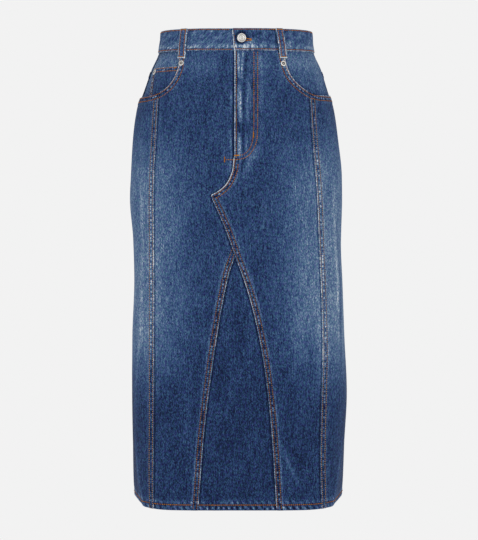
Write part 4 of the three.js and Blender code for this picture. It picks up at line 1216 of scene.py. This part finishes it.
def addFrontPockets():
    for pocket in frontPockets:
        depth, side = pocket["depth"], pocket["side"]
        facing = "pocketFacing" + side.title() + "Cloth"

        def facingFace(u, z):
            return depth + 0.25 * uneven(u, z, 46, 5)

        def facingWearAndShade(u, z):
            pale = 0.12 * bump(np.abs(u), 160, 22) * bump(z, -70, 26)
            # Painted shadow under the edge of the pocket mouth
            return 0.06 * ease(z, -60, -25) - 0.2 * bump(pocket["mouth"](u, z), 0, 4) + 0.1 + pale

        grid = clothGrid(pocket["left"], pocket["right"], steady(panelTop), steady(bagSize["top"]), -60,
                         "open open open open", 2.6, 2.6)
        sewSheet(facing, "pocket_facing_" + side, grid, facingFace, None, facingWearAndShade)
        low, high = [float(pocket[key](bagSize["top"])) for key in ("bagLeft", "bagRight")]

        def bagEnd(u):
            share = np.clip((u - low) / (high - low), 0, 1)
            return bagSize["corner"] - bagSize["drop"] * np.sqrt(np.sin(math.pi * share) + 1e-4)

        def bagFace(u, z):
            return depth + (0.8 * uneven(u, z, 70, 8) - 0.4) * ease(bagSize["top"] - z, 2, 30)

        grid = clothGrid(pocket["bagLeft"], pocket["bagRight"], steady(bagSize["top"] - 0.3), bagEnd,
                         bagSize["top"], "open open open open", 3.0, 3.0)
        bag = sewSheet("pocketBag" + side.title() + "Cloth", "pocket_bag_" + side, grid, bagFace, None,
                       lambda u, z: 0 * u, [pocketing])
    grid = clothGrid(coinEdge, steady(coin["inner"]), coinTop, steady(coin["bottom"]), -70,
                     "lap open lap open", 1.8, 1.8)
    sewSheet("coinPocketCloth", "coin_pocket", grid, coinOuter, lambda u, z: coin["depth"] - cloth + 0 * u,
             coinWearAndShade)


# Plain five-sided patch pockets on the back, hemmed at the top
patch = {"top": -112.0, "width": 142.0, "taper": 8.0, "side": 118.0, "point": 26.0, "stand": 0.8,
         "mouthRow": 16.0}
patchLow = patch["top"] - patch["side"]
patchCentres = {"right": float(sideRight(patch["top"]) + backRight(patch["top"])) / 2,
                "left": float(sideLeft(patch["top"]) + backLeft(patch["top"])) / 2}


def patchHalf(z):
    return patch["width"] / 2 - patch["taper"] * (patch["top"] - z) / (patch["side"] + patch["point"])


def patchOutline(centre):
    right = downLine(lambda z: centre + patchHalf(z), patch["top"], patchLow, 6)
    left = downLine(lambda z: centre - patchHalf(z), patch["top"], patchLow, 6)
    return np.concatenate([left, [[centre, patchLow - patch["point"]]], right[::-1]])


# The patch's height by its rows of stitches, on which its sewing lies too
def patchStand(d):
    rows = 0.3 * (bump(d, 1.7, 0.8) + bump(d, 7.3, 0.9))
    return patch["stand"] + cloth + 0.35 * bump(d, 4, 3) - rows


def addBackPockets():
    for side, centre in patchCentres.items():
        outline = patchOutline(centre)

        def outer(u, z):
            d, top = distanceTo(outline, u, z), patch["top"] - z
            height = patchStand(d) - 0.75 * (bump(d, 0, 0.7) + bump(top, 0, 0.7))
            gape = 0.5 * bump(top, 0, 22) * bump(u, centre, 50)
            return height - 0.3 * bump(top, patch["mouthRow"], 0.9) + gape

        def wearAndShade(u, z):
            d, top = distanceTo(outline, u, z), patch["top"] - z
            middle = bump(d, 4.5, 1.9) * (0.06 + 1j * lap["pucker"])
            mouth = 0.5 * bump(top, 0.4, 1.3) + 0.12 * bump(top, patch["mouthRow"] - 4, 3)
            # Painted shade in the grooves of the rows
            rows = -0.2 * (bump(d, near, 1) + bump(d, far, 1) + bump(top, patch["mouthRow"], 1))
            return 0.4 * bump(d, 0.3, 1.2) + middle + mouth + rows + 0.08 * bump(d, 22, 12)

        def low(u):
            share = np.clip(np.abs(u - centre) / (patch["width"] / 2), 0, 1)
            return patchLow - patch["point"] * (1 - share)

        grid = clothGrid(lambda z: centre - patchHalf(z), lambda z: centre + patchHalf(z),
                         steady(patch["top"]), low, patch["top"], "lap lap lap lap", 2.4, 2.4)
        sewSheet("backPocket" + side.title() + "Cloth", "back_pocket_" + side, grid, outer,
                 lambda u, z: patch["stand"] + 0 * u, wearAndShade)


# Behind the flap lie its facing, the zip with its closed teeth, and the shield
zipSize = {"right": -12.0, "left": 22.0, "top": -37.0, "bottom": -196.0, "middle": 5.0, "tape": 1.0,
           "toothPitch": 2.2, "tooth": (3.4, 1.2, 0.8), "firstTooth": 14}
flyDepth = -cloth - 0.6
tapeDepth = flyDepth - cloth - 1.5
shieldDepth = tapeDepth - zipSize["tape"] - 1.1


def addFly():
    strips = table(
        "name node left right top bottom depth thick finish",
        ("flyFacingCloth", "fly_facing", steady(flyEdge + 0.15), flyCurve, panelTop, -206, flyDepth, cloth,
         sheetMaterials),
        ("zipTapeCloth", "zip_tape", steady(zipSize["right"]), steady(zipSize["left"]), zipSize["top"],
         zipSize["bottom"], tapeDepth, zipSize["tape"], [zipTape]),
        ("flyShieldCloth", "fly_shield", steady(-14), steady(30), panelTop, -200, shieldDepth, cloth,
         sheetMaterials))
    for strip in strips:
        grid = clothGrid(strip["left"], strip["right"], steady(strip["top"]), steady(strip["bottom"]), -60,
                         "open open open open", 3.0, 3.0)
        piece = sewSheet(strip["name"], strip["node"], grid, lambda u, z: strip["depth"] + 0 * u,
                         lambda u, z: strip["depth"] - strip["thick"] + 0 * u,
                         lambda u, z: 0.02 * uneven(u, z, 30, 4), strip["finish"])


addFrontPockets()
addBackPockets()
addFly()
print("pockets and fly ready")

# Sewing. Each row is a line on the cloth, moved sideways by shift (positive is to the right of a
# line read downwards, seen from outside), and every stitch lies on the cloth's own height there.
# Sizes in mm: real thread is 0.8 wide, drawn at 1.75 so that a row shows at this distance.
thread = {"pitch": 3.5, "length": 2.5, "width": 1.75, "height": 0.75, "sit": 0.16, "bandPitch": 3.2,
          "loopPitch": 2.9, "barPitch": 0.62, "barWidth": 0.75, "start": -19}
threads = {"FrontRust": rustThread, "FrontBrown": brownThread, "FrontTan": tanThread, "Band": rustThread,
           "Back": rustThread}
stitchRows = {key: [] for key in threads}


def shifted(line, shift):
    tangent = unit(np.gradient(line, axis=0))
    return line + shift * np.stack([-tangent[:, 1], tangent[:, 0]], -1)


def lengthsAlong(line):
    return np.concatenate([[0], np.cumsum(np.linalg.norm(np.diff(line, axis=0), axis=1))])


def evenlyAlong(line, pitch):
    lengths = lengthsAlong(line)
    count = max(2, int(round(lengths[-1] / pitch)))
    at = (np.arange(count) + 0.5) * lengths[-1] / count
    return np.stack([np.interp(at, lengths, line[:, k]) for k in (0, 1)], -1)


def sewRow(line, surface, key, shift=0.0, pitch=thread["pitch"], across=False, long=1.0, wide=1.0):
    places = evenlyAlong(shifted(line, shift) if shift else line, pitch)
    u, z = places.T
    stitchRows[key].append({"u": u, "z": z, "height": surface(u, z), "across": across,
                            "size": [wide, 1.0, long]})


def sewBar(line, surface, key, long):
    sewRow(line, surface, key, pitch=thread["barPitch"], across=True, long=long, wide=thread["barWidth"])


def bartack(centre, direction, length, surface, key, wide=2.0):
    turn = np.array([math.cos(direction), math.sin(direction)]) * length / 2
    sewBar(np.array([centre - turn, centre + turn]), surface, key, wide / thread["length"])


def planFrontRows():
    for part, sign in zip(sideFronts, (-1, 1)):
        line = lines[part["line"]]
        line = line[line[:, 1] < mouthLevel - 9]
        for shift in lap["wideRows"]:
            sewRow(line, lambda u, z: sideOuter(part, u, z), "FrontTan", sign * shift)
    for part, key, sign in zip(sideFronts, ("rightMouth", "leftMouth"), (1, -1)):
        def surface(u, z):
            past = sign * (u - (rightSide(z) if sign > 0 else leftSide(z))) < 0
            atFront = frontRightOuter(u, z) if sign > 0 else frontLeftOuter(u, z)
            return np.where(past, sideOuter(part, u, z), atFront)

        line = lines[key]
        at = np.linspace(0, len(line) - 1, 240)
        fine = np.stack([np.interp(at, np.arange(len(line)), line[:, k]) for k in (0, 1)], -1)
        for shift in lap["wideRows"]:
            sewRow(fine[fine[:, 1] < thread["start"]], surface, "FrontRust", sign * shift)
    fly = downLine(steady(flyEdge), thread["start"], -204, 4)
    sewRow(fly, frontLeftOuter, "FrontBrown", lap["flyRow"])
    corner = downLine(frontLeftInner, -205, cornerLevel + 2, 2)
    sewRow(corner, frontLeftOuter, "FrontRust", near)
    sewRow(corner[4:], frontLeftOuter, "FrontRust", far)
    inner = downLine(leftInner, cornerLevel - 2, hem + 2)
    sewRow(inner, frontLeftOuter, "FrontBrown", near)
    sewRow(inner[1:], frontLeftOuter, "FrontBrown", far)
    above = np.array([[2.4, -353.0], [1.6, -355.4], [0.5, -358.7], [-0.4, -361.4]])
    gore = np.concatenate([above, downLine(rightInner, goreTip - 1, hem + 2)])
    sewRow(gore[3:], frontRightOuter, "FrontBrown", -near)
    sewRow(gore, frontRightOuter, "FrontBrown", -far)


flyInnerRow = ((29.4, -19), (29.3, -80), (29.2, -139), (27.9, -169), (25.2, -181.5), (18.7, -193),
               (8.3, -199), (-1.4, -198.6))
flyOuterRow = ((35.6, -19), (35.4, -80), (35.2, -139), (34.4, -169), (32.6, -178.6), (26.9, -191.3),
               (17.7, -201.8), (4.6, -206.2), (-2.8, -206.7), (-17.0, -206.4))
flyBars = ((28.6, -166, math.pi / 2, 9.5), (1.2, -199.6, 0.0, 8.0), (-18.2, -206.4, math.pi / 2, 9.0))


def throughPoints(places):
    points = np.array(places, float)
    lengths = lengthsAlong(points)
    at = np.linspace(0, lengths[-1], 120)
    return np.stack([curve("s at", *zip(lengths, points[:, k]))(at) for k in (0, 1)], -1)


def flySurface(u, z):
    return np.where(u < frontLeftInner(z), frontRightOuter(u, z), frontLeftOuter(u, z))


def planFlyRows():
    sewRow(throughPoints(flyInnerRow), flySurface, "FrontRust")
    sewRow(throughPoints(flyOuterRow), flySurface, "FrontRust")
    for u, z, direction, length in flyBars:
        bartack((u, z), direction, length, flySurface, "FrontRust")


def planBandRows():
    for shift, level in ((band["rowIn"], bandTop), (-band["lowRow"], bandBottom)):
        u = np.linspace(float(bandStart(level)) + 2, float(girth(level)) - 9, 200)
        row = np.stack([u, np.full(200, level - shift)], -1)
        sewRow(row, bandSurface, "Band", pitch=thread["bandPitch"])
    z = np.linspace(bandTop - 3, bandBottom + 3, 20)
    sewRow(np.stack([bandStart(z) + 2.4, z], -1), bandSurface, "FrontBrown")
    for loop in loopRows:
        def surface(u, z):
            return loopOuter(loop, u, z)

        z = np.linspace(bandTop - 1.5, loopSize["bottom"] + 4, 20)
        for sign in (-1, 1):
            u = loopMiddle(loop, z) + sign * (loop["width"] / 2 - loopSize["rowIn"])
            sewRow(np.stack([u, z], -1), surface, "Band", pitch=thread["loopPitch"])
        for level in (loopSize["bottom"] + 2.4, bandTop - 2.2):
            bartack((float(loopMiddle(loop, level)), level), 0.0, loop["width"] - 2.6, surface, "Band", 1.6)


def planCoinRows():
    for shift in coin["topRows"]:
        u = np.linspace(coin["outerTop"] + 1, -100, 40)
        sewRow(np.stack([u, coinTop(u) - shift], -1), coinOuter, "FrontRust")
    for shift in coin["sideRows"]:
        z = np.linspace(coin["top"] - 9, coin["bottom"] + 1, 30)
        sewRow(np.stack([coinEdge(z) + shift, z], -1), coinOuter, "FrontTan")
    bartack((-103.0, -45.5), 0.5, 6.0, coinOuter, "FrontRust", 1.8)


def planHem():
    z = hem + hemSize["row"]
    edges = [float(edge(z)) for edge in (backRight, sideRight, sideLeft, backLeft)]
    for start, end, key in zip(edges[:-1], edges[1:], ("Back", "FrontRust", "Back")):
        row = np.stack([np.linspace(start, end, 160), np.full(160, z)], -1)
        sewRow(row, lambda a, b: hemStand(a, b) + 0.25, key, pitch=thread["bandPitch"])


def planBackRows():
    for isLeft in (False, True):
        side, back = (sideLeft, backLeft) if isLeft else (sideRight, backRight)
        share = np.linspace(0.01, 0.995, 120)
        for shift in (near, far):
            z = yokeSide + share * (yokeCentre - yokeSide) - shift
            sewRow(np.stack([side(z) + share * (back(z) - side(z)), z], -1),
                   lambda a, b: backOuter(isLeft, a, b), "Back")
    for shift in (near, far):
        centre = downLine(backLeft, yokeCentre - 10, hem + 2)
        sewRow(centre, lambda a, b: backOuter(True, a, b), "Back", -shift)
        onYoke = downLine(backLeft, thread["start"], yokeCentre + 2, 6)
        sewRow(onYoke, lambda a, b: lapStand(backFrom(a, b)), "Back", -shift)
    for centre in patchCentres.values():
        outline = patchOutline(centre)

        def surface(u, z):
            return patchStand(distanceTo(outline, u, z))

        for shift in (near, far):
            half, corner = patchHalf(patch["top"]) - shift, patchHalf(patchLow) - shift
            tip, cornerLow = patchLow - patch["point"] + shift * 1.04, patchLow + shift * 0.18
            top = patch["top"] - 1.5
            points = np.array([[centre - half, top], [centre - corner, cornerLow], [centre, tip],
                               [centre + corner, cornerLow], [centre + half, top]])
            for a, b in zip(points[:-1], points[1:]):
                sewRow(np.array([a, b]), surface, "Back")
        row = patch["top"] - patch["mouthRow"]
        inside = patchHalf(row) - 9
        sewRow(np.array([[centre - inside, row], [centre + inside, row]]), surface, "Back")


# The buttonhole: close stitches along a narrow slit that tapers away from the button, and a bartack
def planButtonhole():
    hole = {"start": 15.0, "end": 24.2, "z": -0.8, "half": 1.7, "long": 0.62, "bar": (3.2, 2.4)}
    u = np.linspace(hole["start"], hole["end"], 12)
    half = hole["half"] * (1 - 0.5 * (u - u[0]) / (u[-1] - u[0]))
    for sign in (-1, 1):
        sewBar(np.stack([u, hole["z"] + sign * half], -1), bandSurface, "Band", hole["long"])
    length, wide = hole["bar"]
    bartack((hole["end"] + 0.4, hole["z"]), math.pi / 2, length, bandSurface, "Band", wide)


planFrontRows()
planFlyRows()
planBandRows()
planCoinRows()
planHem()
planBackRows()
planButtonhole()


def newSocket(tree, name, kind, way="INPUT", value=None):
    socket = tree.interface.new_socket(name=name, in_out=way, socket_type=kind)
    if value is not None:
        socket.default_value = value
    return socket


# Lays one small rounded stitch at every point, turned along the row and flat to the cloth
def stitchTree():
    tree = bpy.data.node_groups.new("layStitches", "GeometryNodeTree")
    newSocket(tree, "Points", "NodeSocketGeometry")
    newSocket(tree, "Stitches", "NodeSocketGeometry", "OUTPUT")
    newSocket(tree, "Stitch length", "NodeSocketFloat", value=0.0027)
    newSocket(tree, "Thread width", "NodeSocketFloat", value=0.0009)
    newSocket(tree, "Thread height", "NodeSocketFloat", value=0.0006)
    newSocket(tree, "Thread", "NodeSocketMaterial")
    given = addNode(tree, "NodeGroupInput").outputs
    bead = addNode(tree, "GeometryNodeMeshUVSphere", {"Segments": 6, "Rings": 3, "Radius": 0.5})
    size = addNode(tree, "ShaderNodeCombineXYZ", {
        "X": given["Thread width"], "Y": given["Thread height"], "Z": given["Stitch length"]})
    shaped = addNode(tree, "GeometryNodeTransform", {
        "Geometry": bead.outputs["Mesh"], "Scale": size.outputs[0]})
    along, out, stretch = [
        addNode(tree, "GeometryNodeInputNamedAttribute", {"Name": key},
                data_type="FLOAT_VECTOR").outputs["Attribute"] for key in ("along", "out", "stretch")]
    turned = addNode(tree, "FunctionNodeAlignRotationToVector", {"Vector": along}, axis="Z")
    flat = addNode(tree, "FunctionNodeAlignRotationToVector", {
        "Rotation": turned.outputs["Rotation"], "Vector": out}, axis="Y", pivot_axis="Z")
    jitter = addNode(tree, "FunctionNodeRandomValue", {
        "Min": (0.9, 0.9, 0.92), "Max": (1.1, 1.1, 1.06), "Seed": 7}, data_type="FLOAT_VECTOR")
    scale = addNode(tree, "ShaderNodeVectorMath", {0: stretch, 1: jitter.outputs["Value"]},
                    operation="MULTIPLY")
    laid = addNode(tree, "GeometryNodeInstanceOnPoints", {
        "Points": given["Points"], "Instance": shaped.outputs[0], "Rotation": flat.outputs["Rotation"],
        "Scale": scale.outputs[0]})
    real = addNode(tree, "GeometryNodeRealizeInstances", {"Geometry": laid.outputs["Instances"]})
    colored = addNode(tree, "GeometryNodeSetMaterial", {
        "Geometry": real.outputs["Geometry"], "Material": given["Thread"]})
    addNode(tree, "NodeGroupOutput", {"Stitches": colored.outputs["Geometry"]})
    return tree


def placeTree(piece, tree, values):
    modifier = piece.modifiers.new("layStitches", "NODES")
    modifier.node_group = tree
    for item in tree.interface.items_tree:
        if getattr(item, "in_out", "") == "INPUT" and item.name in values:
            modifier[item.identifier] = values[item.name]
    bpy.context.view_layer.update()
    evaluated = piece.evaluated_get(bpy.context.evaluated_depsgraph_get())
    mesh = bpy.data.meshes.new_from_object(evaluated)
    piece.modifiers.clear()
    points = piece.data
    piece.data = mesh
    bpy.data.meshes.remove(points)
    mesh.name = piece.name
    smoothAll(mesh)


def sewThread(name, tree, rows, material):
    spots = []
    values = {"along": [], "out": [], "stretch": []}
    for row in rows:
        u, z = row["u"], row["z"]
        point, _, _, out = frameOnForm(u, z)
        spot = point + out * (row["height"] + foldDepth(u, z) + thread["sit"])[:, None]
        direction = unit(np.gradient(spot, axis=0))
        if row["across"]:
            direction = unit(np.cross(out, direction))
        spots.append(spot * mm)
        values["along"].append(direction)
        values["out"].append(out)
        values["stretch"].append(np.tile(row["size"], (len(u), 1)))
    mesh = newMesh(name, np.concatenate(spots).tolist(), [])
    for key, parts in values.items():
        attribute = mesh.attributes.new(key, "FLOAT_VECTOR", "POINT")
        attribute.data.foreach_set("vector", np.concatenate(parts).astype(np.float32).ravel())
    piece = newPiece(name, mesh)
    placeTree(piece, tree, {"Stitch length": thread["length"] * mm, "Thread width": thread["width"] * mm,
                            "Thread height": thread["height"] * mm, "Thread": material})
    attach(piece, "root")


layStitches = stitchTree()
for key, material in threads.items():
    sewThread("stitches" + key, layStitches, stitchRows[key], material)
print("sewing ready,", sum(len(row["u"]) for rows in stitchRows.values() for row in rows), "stitches")


def frameAt(u, z):
    return [value[0] for value in frameOnForm(np.array([u]), np.array([z]))]


# Turned metal pieces from a profile of radius and height, seated on the cloth. Faces inside the
# recess, between its two radii, are tarnished.
def turnedPiece(name, node, profile, u, z, offset, sides, recess):
    angles = [2 * math.pi * k / sides for k in range(sides)]
    points = [(r * math.cos(angle), r * math.sin(angle), h) for r, h in profile for angle in angles]
    faces = []
    for i in range(len(profile) - 1):
        for k in range(sides):
            a, b = i * sides + k, i * sides + (k + 1) % sides
            faces.append((a, b, b + sides, a + sides))
    faces.append(tuple(reversed(range(sides))))
    faces.append(tuple((len(profile) - 1) * sides + k for k in range(sides)))
    mesh = newMesh(name, points, faces, (nickel, tarnish))
    for face in mesh.polygons:
        face.material_index = int(recess[0] < face.center.xy.length < recess[1] and face.center.z > 0.05)
    smoothAll(mesh)
    mesh.set_sharp_from_angle(angle=math.radians(50))
    place, across, up, out = frameAt(u, z)
    place = place + out * (offset + float(foldDepth(np.array([u]), np.array([z]))[0]))
    basis = Matrix(np.stack([across, up, out], -1).tolist()).to_4x4()
    mesh.transform(Matrix.Translation(Vector(place * mm)) @ basis @ Matrix.Scale(mm, 4))
    piece = newPiece(name, mesh)
    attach(piece, "root")
    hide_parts(node)


metal = {
    "buttonProfile": [
        (2.0, 0), (3.4, 0), (3.4, 0.9), (6.9, 1.05), (7.4, 1.4), (7.5, 1.8), (7.35, 2.25), (6.9, 2.6),
        (6.3, 2.72), (5.7, 2.62), (5.3, 2.45), (4.9, 2.42), (4.0, 2.5), (3.5, 2.6), (3.1, 2.6),
        (2.7, 2.5), (1.4, 2.55), (0.4, 2.58)],
    "rivetProfile": [
        (1.5, 0), (4.6, 0), (4.75, 0.3), (4.7, 0.6), (4.3, 0.95), (3.7, 1.15), (3.1, 1.2), (2.6, 1.0),
        (2.3, 0.2), (1.5, 0.1), (1.2, 0.2), (1.1, 0.9), (0.8, 1.1), (0.3, 1.15)],
    "buttonSides": 48, "rivetSides": 32, "buttonRecess": (4.6, 5.3), "rivetRecess": (1.1, 2.6),
    "rivets": [("rivetRightMetal", "rivet_pocket_right", -90.7, -38.9, 1.1),
               ("rivetLeftMetal", "rivet_pocket_left", 78.2, -39.8, 1.1),
               ("rivetCoinMetal", "rivet_coin", -154.8, -51.4, coin["depth"] + 0.3)]}
buttonU, buttonZ = band["button"]
turnedPiece("buttonMetal", "button", metal["buttonProfile"], buttonU, buttonZ,
            float(bandBase(np.array(buttonU), np.array(buttonZ))) + 0.3, metal["buttonSides"],
            metal["buttonRecess"])
for name, node, u, z, offset in metal["rivets"]:
    turnedPiece(name, node, metal["rivetProfile"], u, z, offset, metal["rivetSides"], metal["rivetRecess"])


toothFaces = ((0, 3, 2, 1), (4, 5, 6, 7), (0, 1, 5, 4), (1, 2, 6, 5), (2, 3, 7, 6), (3, 0, 4, 7))


def addZipTeeth():
    first, pitch = zipSize["top"] - zipSize["firstTooth"], zipSize["toothPitch"]
    points, faces = [], []
    long, tall, deep = zipSize["tooth"]
    for level in np.arange(first, zipSize["bottom"] + 2, -pitch):
        for sign in (-1, 1):
            place, across, up, out = frameAt(zipSize["middle"] + sign * long * 0.32,
                                             level + (0.5 * pitch if sign > 0 else 0))
            base = len(points)
            for c in (0, 1):
                for a, b in ((-1, -1), (1, -1), (1, 1), (-1, 1)):
                    spot = place + across * a * long / 2 + up * b * tall / 2
                    points.append(tuple((spot + out * (tapeDepth + 0.1 + c * deep)) * mm))
            faces += [tuple(base + i for i in quad) for quad in toothFaces]
    piece = newPiece("zipTeeth", newMesh("zipTeeth", points, faces, [nickel]))
    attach(piece, "root")


addZipTeeth()
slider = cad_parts["zip_slider"]
slider.data.materials.clear()
slider.data.materials.append(nickel)
print("metal ready")


# A pale studio: a floor well below the skirt, a plain backdrop far behind, and soft lights
studio = {"floor": -1.03, "tone": "#f2f2f2", "focal": 1289.0, "imageHeight": 540.0, "sensor": 36.0,
          "camera": (0.0051, -2.2, -0.3869), "world": 0.62, "near": -5.0, "wall": 3.0, "high": 4.0,
          "side": 6.0, "bend": 1.2, "aim": (0, 0, -0.38),
          "lights": [("keyLight", (1.3, -2.5, 1.0), 1.5, 15), ("fillLight", (-1.7, -2.0, 0.2), 1.8, 9),
                     ("topLight", (0.0, -0.2, 1.9), 1.6, 6)]}


def addStudio():
    scene, tone = bpy.context.scene, linearFromHex(studio["tone"])
    material, _ = newMaterial("paleStudioPaper")
    finishMaterial(material, {"Color": tone, "Strength": 1.0}, "ShaderNodeEmission")
    low, bend, turn = studio["floor"], studio["bend"], studio["wall"] - studio["bend"]
    line = [(studio["near"], low), (turn, low)]
    line += [(turn + bend * math.sin(a), low + bend * (1 - math.cos(a)))
             for a in np.linspace(0.15, math.pi / 2, 10)]
    line.append((studio["wall"], studio["high"]))
    points = [(x, y, z) for y, z in line for x in (-studio["side"], studio["side"])]
    faces = [(2 * i, 2 * i + 1, 2 * i + 3, 2 * i + 2) for i in range(len(line) - 1)]
    floor = newPiece("studioFloor", newMesh("studioFloor", points, faces, [material]))
    world = bpy.data.worlds.new("softStudio")
    scene.world = world
    world.use_nodes = True
    world.node_tree.nodes["Background"].inputs["Color"].default_value = tone
    world.node_tree.nodes["Background"].inputs["Strength"].default_value = studio["world"]
    for name, place, size, power in studio["lights"]:
        data = bpy.data.lights.new(name, "AREA")
        data.size, data.energy = size, power
        light = newPiece(name, data)
        light.location = place
        light.rotation_euler = (Vector(studio["aim"]) - Vector(place)).to_track_quat("-Z", "Y").to_euler()
    data = bpy.data.cameras.new("camera")
    data.sensor_width = studio["sensor"]
    data.lens = studio["focal"] / studio["imageHeight"] * studio["sensor"]
    camera = newPiece("camera", data)
    camera.location = studio["camera"]
    camera.rotation_euler = (math.pi / 2, 0, 0)
    scene.camera = camera
    scene.view_settings.view_transform = "Standard"


addStudio()
print("studio ready")
